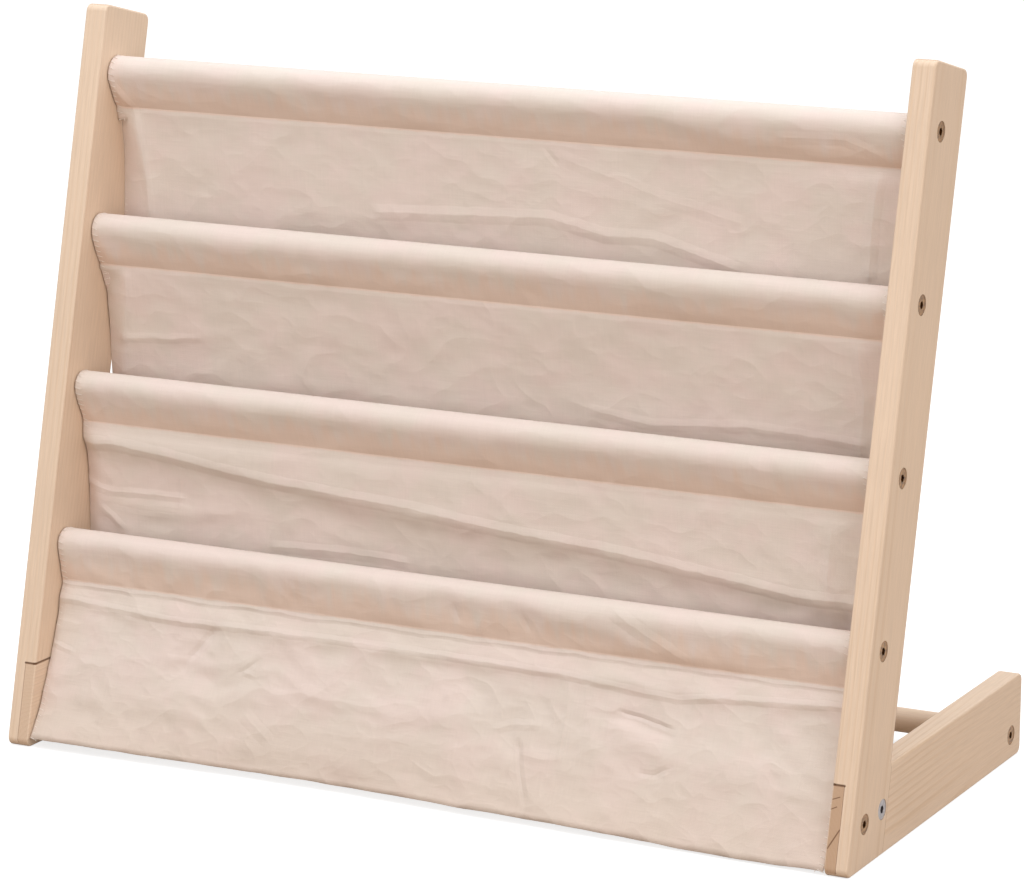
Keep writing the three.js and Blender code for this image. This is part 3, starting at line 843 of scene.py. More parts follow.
def way_out_of_rounding(place, depth, sides, turns):
    """How far to move a place of the frame's outline that lies at this depth, for each unit of it."""
    for centre, radius, normals, corner in turns:
        if ((normals @ (place - corner)) < radius).all():
            off = place - centre
            reach = np.linalg.norm(off)
            return off / reach if abs(radius - reach - depth) < outline_slack else None
    found = []
    for start, along, inward, length in sides:
        share = (place - start) @ along
        near = -packed_rounding * 2 < share < length + packed_rounding * 2
        if near and abs((place - start) @ inward - depth) < outline_slack:
            found.append(inward)
    if not found:
        return None
    return -np.linalg.lstsq(np.array(found), np.ones(len(found)), rcond=None)[0]


def crisp_edges(mesh):
    """Tightens the rounding along a board's edges to that of a planed board."""
    outline = frame_outline()
    sides, turns = [], []
    for i, (start, _) in enumerate(outline):
        end = outline[(i + 1) % len(outline)][0]
        length = np.linalg.norm(end - start)
        along = (end - start) / length
        sides.append((start, along, np.array([-along[1], along[0]]), length))
    for i, (corner, radius) in enumerate(outline):
        if radius:
            normals = np.array([sides[i - 1][2], sides[i][2]])
            centre = corner + np.linalg.solve(normals, np.array([radius, radius]))
            turns.append((centre, radius, normals, corner))
    kept = planed_rounding / packed_rounding
    for vertex in mesh.vertices:
        side = math.copysign(1, vertex.co.x)
        from_inner = abs(vertex.co.x) - board_inner
        from_face = min(from_inner, board_outer - abs(vertex.co.x))
        if from_face > packed_rounding + merge_distance:
            continue
        rest = max(packed_rounding - from_face, 0)
        depth = packed_rounding - math.sqrt(max(packed_rounding**2 - rest**2, 0))
        place = np.array([vertex.co.y, vertex.co.z])
        way = way_out_of_rounding(place, depth, sides, turns)
        if way is None:
            continue
        place = place + way * depth * (1 - kept)
        reach = board_inner + from_face * kept
        if from_inner > from_face + merge_distance:
            reach = board_outer - from_face * kept
        vertex.co = (side * reach, place[0], place[1])


def shoulder_lines(sign):
    """The gap round a foot's shoulder, as lines with their width, on the side that sign gives."""
    inner, middle = sign * board_inner, sign * board_middle
    rounding = planed_rounding * (1 - math.sqrt(0.5))
    corners = [
        (middle, shoulder_y),
        (inner + sign * planed_rounding, shoulder_y),
        (inner + sign * rounding, shoulder_y + rounding),
        (inner, shoulder_y + planed_rounding),
        (inner, shoulder_y + upright_depth),
    ]
    return [
        ((*start, foot_height), (*end, foot_height), shoulder_gap)
        for start, end in zip(corners[:-1], corners[1:])
    ]


def make_boards():
    for side, sign in (("left", -1), ("right", 1)):
        low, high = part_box(f"{side}_upright")
        middle_x = (low.x + high.x) / 2
        shoulder = shoulder_lines(sign)
        pith = (middle_x - pith_aside * sign, upright_pith_y + upright_pith_step * sign, 0)
        upright_pine = pine_material(
            f"pine_{side}_upright", upright_turn, pith, upright_late_share, shoulder
        )
        pith = (middle_x - pith_aside * foot_pith_share * sign, foot_pith_y, 0)
        foot_pine = pine_material(
            f"pine_{side}_foot",
            foot_turn,
            pith,
            foot_late_shares[side],
            shoulder + (end_cracks if side == "right" else []),
            wave=foot_wave,
            end_share=foot_end_shares[side],
            ring_share=foot_ring_share,
        )
        for part, pine in (("upright", upright_pine), ("foot", foot_pine)):
            board = merged_copy(f"{side}_{part}", f"{side}_{part}_board")
            crisp_edges(board.data)
            set_material(board, pine)
            carry(board, "frame_wood", f"{side}_{part}")


def make_rods():
    pine = pine_material("pine_rods", rod_turn, rod_pith, rod_late_share)
    for name in pocket_rod_names + ["bottom_rod", "rear_rod"]:
        rod = merged_copy(name, f"{name}_dowel")
        set_material(rod, pine)
        carry(rod, "rod_wood", name)


pocket_rod_names = [f"pocket_rod_{i + 1}" for i in range(pocket_rod_count)]
pocket_rods = [rod_middle(name) for name in pocket_rod_names]
bottom_rod = rod_middle("bottom_rod")
rod_low, rod_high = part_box(pocket_rod_names[0])
rod_radius = (rod_high.z - rod_low.z) / 2
half_cloth = cloth_thickness / 2
channel_radius = rod_radius + channel_ease + half_cloth
band_slope = math.hypot(channel_radius, seam_drop) / seam_drop
sling_low, sling_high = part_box("canvas_sling")


def lattice_noise(across, down, seed):
    """Smooth noise from -1 to 1 on a plane: random slopes at whole numbers, blended between."""
    draw = np.random.default_rng(seed)
    turns = draw.random((lattice_cells, lattice_cells)) * 2 * math.pi
    cell_x = np.floor(across).astype(int)
    cell_y = np.floor(down).astype(int)
    part_x = across - cell_x
    part_y = down - cell_y
    fade_x = part_x**3 * (part_x * (part_x * 6 - 15) + 10)
    fade_y = part_y**3 * (part_y * (part_y * 6 - 15) + 10)
    corners = []
    for step_y in (0, 1):
        for step_x in (0, 1):
            turn = turns[(cell_x + step_x) % lattice_cells, (cell_y + step_y) % lattice_cells]
            corners.append(np.cos(turn) * (part_x - step_x) + np.sin(turn) * (part_y - step_y))
    upper = corners[0] + (corners[1] - corners[0]) * fade_x
    lower = corners[2] + (corners[3] - corners[2]) * fade_x
    return lattice_gain * (upper + (lower - upper) * fade_y)


def bezier(points, shares):
    """Places on a cubic curve, at shares of its parameter; each point may vary across the cloth."""
    t = shares[:, None, None]
    a, b, c, d = [np.asarray(p)[None, :, :] for p in points]
    return (1 - t) ** 3 * a + 3 * (1 - t) ** 2 * t * b + 3 * (1 - t) * t**2 * c + t**3 * d


def steady(y, z, columns):
    """The same place in every column."""
    return np.tile(np.array([[y, z]]), (columns, 1))


def leaving_angle(away, down):
    """Angle past level at which a straight run of cloth leaves the round over a rod."""
    reach = math.hypot(away, down)
    return math.asin(channel_radius / reach) - math.atan2(away, down)


def channel_rows(i, columns):
    """Back leg, round and front leg of the channel over one rod, as rows of (y, z)."""
    rod = pocket_rods[i]
    last = i == len(pocket_rods) - 1
    seam_y = rod.x - (apron_pull if last else 0)
    seam_z = rod.y - seam_drop
    down = seam_drop - seam_height / 2
    back_angle = leaving_angle(seam_y + half_cloth - rod.x, down)
    front_angle = leaving_angle(rod.x - seam_y + half_cloth, down)
    turns = np.linspace(-back_angle, math.pi + front_angle, round_rows)
    round_part = np.stack(
        [rod.x + channel_radius * np.cos(turns), rod.y + channel_radius * np.sin(turns)], 1
    )
    back_shares = np.linspace(0, 1, back_leg_rows + 1)[:-1, None]
    leg_shares = np.linspace(0, 1, leg_rows + 1)[:-1, None]
    back_foot = np.array([seam_y + half_cloth, seam_z - seam_height / 2])
    back_leg = np.array([seam_y + half_cloth, seam_z + seam_height / 2])
    front_leg = np.array([seam_y - half_cloth, seam_z + seam_height / 2])
    front_foot = np.array([seam_y - half_cloth, seam_z - seam_height / 2])
    parts = [
        back_foot[None, :],
        back_leg + (round_part[0] - back_leg) * back_shares,
        round_part,
        front_leg + (round_part[-1] - front_leg) * leg_shares[::-1],
        front_foot[None, :],
    ]
    rows = np.concatenate(parts)
    return np.repeat(rows[:, None, :], columns, 1), back_foot, front_foot


def pocket_rows(i, across_shares, start, end):
    """From a seam down the back wall, round the hanging fold and up to the next seam."""
    columns = len(across_shares)
    rod, front = pocket_rods[i], pocket_rods[i + 1]
    wall_y = rod.x + wall_set_shares[i] * pocket_width
    sag = pocket_sag * np.sin(math.pi * across_shares)
    radius = pocket_width / 2
    centre_z = front.y - pocket_drop + radius - sag
    first = steady(*start, columns)
    corner = steady(wall_y, front.y, columns)
    reach = first + (corner - first) * wall_pull_share
    turn_start = np.stack([np.full(columns, wall_y), centre_z], 1)
    seen_part = np.linspace(0, seen_wall_share, seen_wall_rows + 1)[1:]
    deep_part = np.linspace(seen_wall_share, 1, deep_wall_rows + 1)[1:]
    wall = bezier([first, reach, corner, turn_start], np.concatenate([seen_part, deep_part]))
    turns = -np.linspace(0, math.pi, fold_rows)[1:]
    fold = np.stack(
        [
            np.tile(wall_y - radius + radius * np.cos(turns)[:, None], (1, columns)),
            centre_z[None, :] + radius * np.sin(turns)[:, None],
        ],
        2,
    )
    left = fold[-1]
    last = steady(*end, columns)
    low_pull = left + np.array([0, radius * 2])
    rising = bezier(
        [left, low_pull, left + (last - left) * wall_pull_share, last],
        np.linspace(0, 1, front_wall_rows + 1)[1:-1],
    )
    return np.concatenate([wall, fold, rising])


def smooth_line(values, across_shares):
    """Evenly spaced values joined by a rounded line, read at places across the cloth."""
    fine = np.linspace(0, 1, len(values) * line_steps)
    line = np.interp(fine, np.linspace(0, 1, len(values)), values)
    padded = np.pad(line, line_rounding, mode="edge")
    window = 2 * line_rounding + 1
    line = np.convolve(padded, np.ones(window) / window, mode="valid")
    return np.interp(across_shares, fine, line)


def apron_rows_from(start, across_shares):
    """From the last seam down on to the bottom rod, then out to the hem."""
    columns = len(across_shares)
    flare = hem_flare * smooth_line(hem_flare_shares, across_shares)
    drop_down = hem_drop * smooth_line(hem_drop_shares, across_shares)
    uneven = lattice_noise(across_shares * hem_waves, across_shares * hem_slow_waves, hem_seed)
    drop_down += hem_unevenness * uneven
    on_rod_y = bottom_rod.x - rod_radius - rod_touch - half_cloth
    on_rod = steady(on_rod_y, bottom_rod.y + seam_height / 2, columns)
    first = steady(*start, columns)
    hem = np.stack([on_rod_y - flare, hem_height - drop_down], 1)
    slope = on_rod - first
    shares = np.linspace(0, 1, apron_rows + 1)[1:]
    high_pull, low_pull = [first + slope * share for share in apron_pull_shares]
    upper = bezier([first, high_pull, low_pull, on_rod], shares)
    bend = on_rod + slope * hem_bend_share
    hem_pull = hem - (hem - on_rod) * hem_pull_share
    lower = bezier([on_rod, bend, hem_pull, hem], np.linspace(0, 1, hem_rows + 1)[1:])
    return np.concatenate([upper, lower])


def from_line(across, down, line):
    """Each place's distance from a line of points, by side, and how far it is from its ends."""
    points = np.array(line)
    best = np.full(across.shape, np.inf)
    signed = np.zeros_like(across)
    along = np.zeros_like(across)
    passed = 0
    for start, end in zip(points[:-1], points[1:]):
        way = end - start
        length = np.hypot(*way)
        off_x = across - start[0]
        off_y = down - start[1]
        share = np.clip((off_x * way[0] + off_y * way[1]) / length**2, 0, 1)
        away = np.hypot(off_x - share * way[0], off_y - share * way[1])
        side = np.sign(off_y * way[0] - off_x * way[1])
        nearer = away < best
        best = np.where(nearer, away, best)
        signed = np.where(nearer, side * away, signed)
        along = np.where(nearer, passed + share * length, along)
        passed += length
    return signed, np.minimum(along, passed - along)


def crease_height(across, down, creases):
    """Height of all the folds in a list at each place of the cloth."""
    total = np.zeros_like(across)
    for line, height, above, below in creases:
        signed, _ = from_line(across, down, line)
        width = np.where(signed > 0, below, above)
        total += height * np.exp(-((np.abs(signed) / width) ** crease_roundness))
    return total


def keep_creases(mesh, grid, downs, seam_downs):
    """Keeps on the mesh, for each place, its distance from the nearest crisp crease by side,
    that crease's height and width. Creases that come close go on layers of their own."""
    across = grid[..., 0]
    down = np.repeat(downs[:, None], grid.shape[1], 1)
    layers = []
    for panel, places, height, width in crisp_creases:
        line = [
            (x, seam_downs[panel] + below * (1 if below > 0 else band_slope))
            for x, below in places
        ]
        signed, from_end = from_line(across, down, line)
        away = np.abs(signed)
        zone = (away < width + 2 * crease_margin) & (from_end > 0)
        strength = height * np.clip(from_end / crease_fade, 0, 1) * (away < width + crease_margin)
        layer = next((kept for kept in layers if not (kept["zone"] & zone).any()), None)
        if layer is None:
            layer = {
                "zone": np.zeros_like(zone),
                "away": np.full_like(away, np.inf),
                "values": np.tile([crease_margin, 0, crease_margin], away.shape + (1,)),
            }
            layers.append(layer)
        nearer = away < layer["away"]
        layer["zone"] |= zone
        layer["away"] = np.where(nearer, away, layer["away"])
        values = np.stack([signed, strength, np.full_like(away, width)], -1)
        layer["values"] = np.where(nearer[..., None], values, layer["values"])
    for i, layer in enumerate(layers):
        kept = mesh.attributes.new(f"crease_{i}", "FLOAT_VECTOR", "POINT")
        kept.data.foreach_set("vector", layer["values"].astype(np.float32).reshape(-1))
    return len(layers)


def waviness(across, down, seed, crumple):
    """Soft unevenness of hanging canvas, from broad waves to the ridges of crumpled cloth."""
    broad = lattice_noise(across / broad_wave[0], down / broad_wave[1], seed)
    bend = wave_bend_share * lattice_noise(across / wave_bend, down / wave_bend, seed + 3)
    x, y = across / middle_wave[0], down / middle_wave[1]
    middle = np.abs(lattice_noise(x + bend, y + bend, seed + 1))
    x, y = across / small_wave[0], down / small_wave[1]
    small = np.abs(lattice_noise(x - bend, y + bend, seed + 2))
    return broad_height * broad - crumple * (middle_height * middle + small_height * small)


def side_turn(inwards, down, line):
    """How far the cloth lies back near its left edge, past a crease along the line."""
    below, width, depth = np.array(line).T
    share = np.clip(1 - inwards / np.interp(down, below, width), 0, 1)
    return np.interp(down, below, depth) * share**turn_roundness


def puckers(across, away, seed):
    """Small gathers that a seam draws up, square to it, fading away from it."""
    pull = lattice_noise(across / pucker_width, away / pucker_length, seed)
    return pucker_height * pull * np.exp(-np.abs(away) / pucker_reach)


def gathers(across, down, seed):
    """Slack that stands in soft folds down a band, here and there along it."""
    folds = lattice_noise(across / gather_width, down / gather_length, seed)
    places = lattice_noise(across / gather_spread, 0 * down, seed + 1)
    return folds * smoothed_step(places, *gather_limits)


def shift_outwards(rows, heights):
    """Moves each place of a grid square to the cloth, towards its book side."""
    ahead = np.concatenate([rows[1:], rows[-1:]])
    behind = np.concatenate([rows[:1], rows[:-1]])
    along = ahead - behind
    length = np.maximum(np.hypot(along[..., 0], along[..., 1]), least_length)
    outward = np.stack([along[..., 1], -along[..., 0]], -1) / length[..., None]
    return rows + outward * heights[..., None]


def smoothed_step(value, low, high):
    """From 0 below low to 1 above high, with rounded ends."""
    share = np.clip((value - low) / (high - low), 0, 1)
    return share * share * (3 - 2 * share)


def top_hem(first_foot, columns):
    """The short tail of cloth below the first seam, at the back."""
    shares = np.linspace(1, 0, tail_rows + 1)[:-1]
    tail = np.stack([steady(*first_foot, columns)] * tail_rows)
    tail[..., 1] -= top_hem_tail * shares[:, None]
    tail[..., 0] += cloth_thickness * shares[:, None]
    return tail


def band_heights(i, x, down):
    """How far the cloth over a rod stands off its plain section, at each place."""
    on_front = (np.arange(len(x)) > back_leg_rows + round_rows // 2)[:, None]
    long_end, short_end = seam_fade
    free = 1 - smoothed_step(down, seam_drop - long_end, seam_drop - short_end)
    front = smoothed_step(down, *front_fade) * on_front * free
    soft = waviness(x, down, band_seeds[0] + band_seeds[1] * i, crumple_shares[i])
    heights = (soft * band_wave_share + front_slack) * front
    heights += crease_height(x, down, band_creases[i]) * front
    heights += back_slack * (1 - on_front) * free * smoothed_step(down, *back_fade)
    heights += np.abs(puckers(x, seam_drop - down, band_pucker_seed + i)) * front
    heights += gathers(x, down, gather_seed + i) * gather_heights[i] * front
    return heights


def panel_heights(i, x, down, place_z, left):
    """How far a panel below a seam stands off its plain section, at each place."""
    is_apron = i + 1 == len(pocket_rods)
    held = smoothed_step(down, *below_seam_fade)
    heights = waviness(x, down, panel_seeds[0] + panel_seeds[1] * i, crumple_shares[i]) * held
    if is_apron:
        on_wall, seen = True, 1
    else:
        on_wall = (np.arange(len(x)) <= wall_rows)[:, None]
        deep = pocket_rods[i + 1].y + deep_end
        seen = smoothed_step(place_z, deep - deep_fade[0], deep - deep_fade[1])
    heights -= side_turn(x - left, down, side_turns[i]) * held * on_wall
    heights += crease_height(x, down, wall_creases[i]) * held * seen * on_wall
    heights += puckers(x, down, panel_pucker_seed + i) * held
    if is_apron:
        near_rod = 1 - smoothed_step(np.abs(place_z - bottom_rod.y), *bottom_rod_fade)
        heights += (np.maximum(heights, 0) - heights) * near_rod
    return heights * np.where(on_wall, 1, fold_wave_share)


def sling_grid():
    """Places of the cloth as rows down its length and columns across it, and its seam rows."""
    left = sling_low.x + left_gap
    right = sling_high.x + right_reach
    even = np.linspace(left, right, int(round((right - left) / column_pitch)) + 1)
    edge = column_pitch * np.array(edge_column_shares)
    across = np.sort(np.concatenate([even, left + edge, right - edge]))
    columns = len(across)
    shares = (across - left) / (right - left)
    channels = [channel_rows(i, columns) for i in range(len(pocket_rods))]
    parts = [top_hem(channels[0][1], columns)]
    seam_rows, count = [], tail_rows
    for i, (rows, _, front_foot) in enumerate(channels):
        x = np.tile(across[None, :], (len(rows), 1))
        down = pocket_rods[i].y - rows[..., 1]
        parts.append(shift_outwards(rows, band_heights(i, x, down)))
        seam_rows.append((count, count + len(rows) - 1))
        if i + 1 < len(channels):
            body = pocket_rows(i, shares, front_foot, channels[i + 1][1])
        else:
            body = apron_rows_from(front_foot, shares)
        x = np.tile(across[None, :], (len(body), 1))
        down = front_foot[1] + seam_height / 2 - body[..., 1]
        parts.append(shift_outwards(body, panel_heights(i, x, down, body[..., 1], left)))
        count += len(rows) + len(body)
    rows = np.concatenate(parts)
    grid = np.empty(rows.shape[:2] + (3,))
    grid[..., 0] = across[None, :]
    grid[..., 1:] = rows
    low = 1 - smoothed_step(grid[..., 2], curl_full, curl_top)
    low *= np.arange(len(grid))[:, None] > seam_rows[-1][1]
    curl = low * smoothed_step(grid[..., 0], right - curl_width, right)
    grid[..., 0] += curl_out * curl
    return grid, seam_rows


def grid_mesh(name, grid):
    """A sheet from rows and columns of places, with its own map in metres of cloth."""
    rows, columns = grid.shape[:2]
    index = np.arange(rows * columns).reshape(rows, columns)
    faces = np.stack([index[:-1, :-1], index[1:, :-1], index[1:, 1:], index[:-1, 1:]], -1)
    faces = faces.reshape(-1, 4)
    mesh = bpy.data.meshes.new(name)
    mesh.from_pydata(grid.reshape(-1, 3).tolist(), [], faces.tolist())
    steps = np.linalg.norm(np.diff(grid, axis=0), axis=2).mean(1)
    down = np.concatenate([[0], np.cumsum(steps)])
    flat = np.empty((rows, columns, 2))
    flat[..., 0] = grid[..., 0]
    flat[..., 1] = down[:, None]
    layer = mesh.uv_layers.new(name="cloth")
    layer.data.foreach_set("uv", flat.reshape(-1, 2)[faces.reshape(-1)].reshape(-1))
    mesh.shade_smooth()
    return mesh, down


def sharpen_rows(mesh, columns, rows):
    """Keeps the cloth's shading sharp along whole rows, where a seam folds it."""
    ends = np.empty(len(mesh.edges) * 2, dtype=np.int32)
    mesh.edges.foreach_get("vertices", ends)
    row_of = ends.reshape(-1, 2) // columns
    sharp = (row_of[:, 0] == row_of[:, 1]) & np.isin(row_of[:, 0], rows)
    kept = mesh.attributes.new("sharp_edge", "BOOLEAN", "EDGE")
    kept.data.foreach_set("value", sharp)


def outward_of(grid):
    """Unit directions square to the sheet, towards its book side, at each place."""
    down = np.gradient(grid, axis=0)
    across = np.gradient(grid, axis=1)
    square = np.cross(down, across)
    return -square / np.linalg.norm(square, axis=2, keepdims=True)


def make_sling():
    grid, seam_rows = sling_grid()
    mesh, downs = grid_mesh("canvas_sling_cloth", grid)
    sheet = new_object("canvas_sling_cloth", mesh)
    seam_downs = [downs[front] - seam_height / 2 for _, front in seam_rows]
    layers = keep_creases(mesh, grid, downs, seam_downs)
    sharpen_rows(mesh, grid.shape[1], [front - 1 for _, front in seam_rows])
    set_material(sheet, canvas_material(seam_downs, layers))
    solid = sheet.modifiers.new("cloth_thickness", "SOLIDIFY")
    solid.thickness = cloth_thickness
    solid.offset = 0
    carry(sheet, "canvas", "canvas_sling")
    return sheet, grid, seam_rows, downs[-1]


def join_paths(name, paths):
    """Several lines or single places as one mesh, each with its direction out of the surface."""
    mesh = bpy.data.meshes.new(name)
    places, edges, outward, count = [], [], [], 0
    for line, way_out in paths:
        places.extend(tuple(p) for p in line)
        outward.extend(way_out)
        edges.extend((count + i, count + i + 1) for i in range(len(line) - 1))
        count += len(line)
    mesh.from_pydata(places, edges, [])
    layer = mesh.attributes.new("outward", "FLOAT_VECTOR", "POINT")
    layer.data.foreach_set("vector", np.asarray(outward, np.float32).reshape(-1))
    return new_object(name, mesh)


def tree_with_inputs(name, sizes):
    """A Geometry Nodes tree with its geometry sockets and one named input for each size."""
    group = bpy.data.node_groups.new(name, "GeometryNodeTree")
    group.interface.new_socket("Geometry", in_out="INPUT", socket_type="NodeSocketGeometry")
    for size_name in sizes:
        group.interface.new_socket(size_name, in_out="INPUT", socket_type="NodeSocketFloat")
    group.interface.new_socket("Geometry", in_out="OUTPUT", socket_type="NodeSocketGeometry")
    given = group.nodes.new("NodeGroupInput")
    return group, Tree(group), given


def end_tree(group, tree, geometry, material):
    real = tree.add("GeometryNodeRealizeInstances", {"Geometry": geometry})
    painted = tree.add("GeometryNodeSetMaterial", {"Geometry": real, "Material": material})
    out = group.nodes.new("NodeGroupOutput")
    group.links.new(painted, out.inputs[0])


def apply_tree(piece, group, sizes):
    """Runs the tree on the piece with these sizes, and leaves the result as a plain mesh."""
    made = piece.modifiers.new("made_by_nodes", "NODES")
    made.node_group = group
    for item in group.interface.items_tree:
        if item.item_type == "SOCKET" and item.in_out == "INPUT" and item.name in sizes:
            made[item.identifier] = sizes[item.name]
    bpy.context.view_layer.update()
    graph = bpy.context.evaluated_depsgraph_get()
    mesh = bpy.data.meshes.new_from_object(
        piece.evaluated_get(graph), preserve_all_data_layers=True, depsgraph=graph
    )
    piece.modifiers.clear()
    piece.data = mesh
    mesh.shade_smooth()


def aligned_instances(tree, points, shape):
    """The shape at each point, its X along the line and its Z out of the cloth."""
    outward = tree.add("GeometryNodeInputNamedAttribute", {0: "outward"}, data_type="FLOAT_VECTOR")
    tangent = tree.add("GeometryNodeInputTangent")
    rotation = tree.add(
        "FunctionNodeAxesToRotation",
        {"Primary Axis": outward, "Secondary Axis": tangent},
        primary_axis="Z",
        secondary_axis="X",
    )
    inputs = {"Points": points, "Instance": shape, "Rotation": rotation}
    return tree.add("GeometryNodeInstanceOnPoints", inputs)


def points_along(tree, given):
    """Points a pitch apart on each given line."""
    line = tree.add("GeometryNodeMeshToCurve", {"Mesh": given.outputs["Geometry"]})
    inputs = {"Curve": line, "Length": given.outputs["Pitch"]}
    return tree.add("GeometryNodeResampleCurve", inputs, mode="LENGTH")


def round_thread(tree, given, line, sides, **ends):
    """A round thread along a curve, of the radius that the tree is given."""
    sizes = {"Resolution": sides, "Radius": given.outputs["Thread Radius"]}
    circle = tree.add("GeometryNodeCurvePrimitiveCircle", sizes)
    return tree.add("GeometryNodeCurveToMesh", {"Curve": line, "Profile Curve": circle, **ends})


def running_stitch_tree(material):
    """Slightly arched threads, one after the other along each line."""
    sizes = ["Pitch", "Length", "Thread Radius"]
    group, tree, given = tree_with_inputs("running_stitches", sizes)
    radius = given.outputs["Thread Radius"]
    half = tree.math("MULTIPLY", given.outputs["Length"], 0.5)
    sink = tree.math("MULTIPLY", radius, -stitch_sink_share)
    start = tree.add("ShaderNodeCombineXYZ", {"X": tree.math("MULTIPLY", half, -1.0), "Z": sink})
    end = tree.add("ShaderNodeCombineXYZ", {"X": half, "Z": sink})
    middle = tree.add("ShaderNodeCombineXYZ", {"Z": radius})
    places = {"Resolution": stitch_steps, "Start": start, "Middle": middle, "End": end}
    arch = tree.add("GeometryNodeCurveQuadraticBezier", places)
    thread = round_thread(tree, given, arch, stitch_sides, **{"Fill Caps": True})
    end_tree(group, tree, aligned_instances(tree, points_along(tree, given), thread), material)
    return group


def overcast_tree(material):
    """Slanted loops of thread round the edge of the cloth."""
    sizes = ["Pitch", "Depth", "Thickness", "Thread Radius"]
    group, tree, given = tree_with_inputs("overcast_edge", sizes)
    loop = tree.add(
        "GeometryNodeCurvePrimitiveCircle", {"Resolution": overcast_loop_sides, "Radius": 0.5}
    )
    size = tree.add(
        "ShaderNodeCombineXYZ",
        {"X": given.outputs["Depth"], "Y": given.outputs["Thickness"], "Z": 1.0},
    )
    upright = Euler((math.pi / 2, 0, math.pi / 2 + overcast_slant))
    flat_loop = tree.add(
        "GeometryNodeTransform", {"Geometry": loop, "Scale": size, "Rotation": upright}
    )
    thread = round_thread(tree, given, flat_loop, overcast_sides)
    end_tree(group, tree, aligned_instances(tree, points_along(tree, given), thread), material)
    return group


def sewn_piece(name, paths, tree, sizes, material):
    """One piece of sewing: the lines that it follows, run through its tree."""
    piece = join_paths(name, paths)
    apply_tree(piece, tree, sizes)
    set_material(piece, material)
    carry(piece, "canvas")
    return piece


def make_seam_stitches(grid, outward, seam_rows, material):
    """Two rows of stitches at each channel, one on its front and one on its back."""
    lift = half_cloth + stitch_thread * stitch_lift_share
    inner = slice(stitch_inset, -stitch_inset)
    paths = []
    for back_row, front_row in seam_rows:
        for row, step in ((front_row, -1), (back_row, 1)):
            middle = (grid[row] + grid[row + step]) / 2
            way_out = outward[row + step]
            line = middle + way_out * lift
            paths.append((line[inner], way_out[inner]))
    sizes = {"Pitch": stitch_pitch, "Length": stitch_length, "Thread Radius": stitch_thread}
    return sewn_piece("seam_stitches", paths, running_stitch_tree(material), sizes, material)


def make_overcast_edges(grid, outward, material):
    """Loops of thread round both side edges, and the needle's line that shows beside them."""
    edge_inset = overcast_depth / 2 - overcast_thread * 2
    paths, needle = [], []
    for column, inwards in ((0, 1), (-1, -1)):
        line = grid[:, column].copy()
        line[:, 0] += inwards * edge_inset
        paths.append((line, outward[:, column]))
        inset = np.full(len(grid), overcast_depth)
        if inwards < 0:
            inset = np.interp(grid[:, column, 2], needle_heights, needle_insets)
        row_line = grid[:, column] + outward[:, column] * half_cloth
        row_line[:, 0] += inwards * inset
        for axis in (1, 2):
            row_line[:, axis] += [
                np.interp(x, row[:, 0], row[:, axis]) - row[column, axis]
                for x, row in zip(row_line[:, 0], grid)
            ]
        needle.append((row_line, outward[:, column]))
    sizes = {
        "Pitch": overcast_pitch,
        "Depth": overcast_depth,
        "Thickness": cloth_thickness + overcast_thread * 3,
        "Thread Radius": overcast_thread,
    }
    loops = sewn_piece("overcast_edges", paths, overcast_tree(material), sizes, material)
    sizes = {
        "Pitch": overcast_pitch,
        "Length": stitch_length * needle_length_share,
        "Thread Radius": stitch_thread * needle_thread_share,
    }
    stitches = running_stitch_tree(material)
    return [loops, sewn_piece("edge_needle_line", needle, stitches, sizes, material)]


def loose_thread_tree(material):
    """Each line of points as one smooth round thread."""
    group, tree, given = tree_with_inputs("loose_threads", ["Thread Radius"])
    line = tree.add("GeometryNodeMeshToCurve", {"Mesh": given.outputs["Geometry"]})
    smooth = tree.add("GeometryNodeCurveSplineType", {"Curve": line}, spline_type="CATMULL_ROM")
    thread = round_thread(tree, given, smooth, stitch_sides, **{"Fill Caps": True})
    end_tree(group, tree, thread, material)
    return group


def make_loose_threads(grid, outward, seam_rows, material):
    """Ends of thread that lie on the cloth or stand out from its edge."""
    paths = []
    for panel, places in loose_threads:
        first = seam_rows[panel][1] - leg_rows - 2
        last = len(grid) if panel + 1 == len(seam_rows) else seam_rows[panel][1] + seen_wall_rows
        line, way_out = [], []
        for across, below, lift in places:
            column = int(np.argmin(np.abs(grid[first, :, 0] - across)))
            height = pocket_rods[panel].y - seam_drop - below
            strip = grid[first:last, column]
            row = first + int(np.argmin(np.abs(strip[:, 2] - height)))
            square = Vector(outward[row, column])
            on_cloth = np.interp(-height, -strip[:, 2], strip[:, 1])
            line.append(Vector((across, on_cloth, height)) + square * (half_cloth + lift))
            way_out.append(square)
        paths.append((line, way_out))
    sizes = {"Thread Radius": loose_thread_radius}
    return sewn_piece("loose_threads", paths, loose_thread_tree(material), sizes, material)


def lowered(tree, shape, depth):
    """The shape moved by a depth, against the direction that it faces."""
    shift = tree.add("ShaderNodeCombineXYZ", {"Z": tree.math("MULTIPLY", depth, -1.0)})
    return tree.add("GeometryNodeTransform", {"Geometry": shape, "Translation": shift})


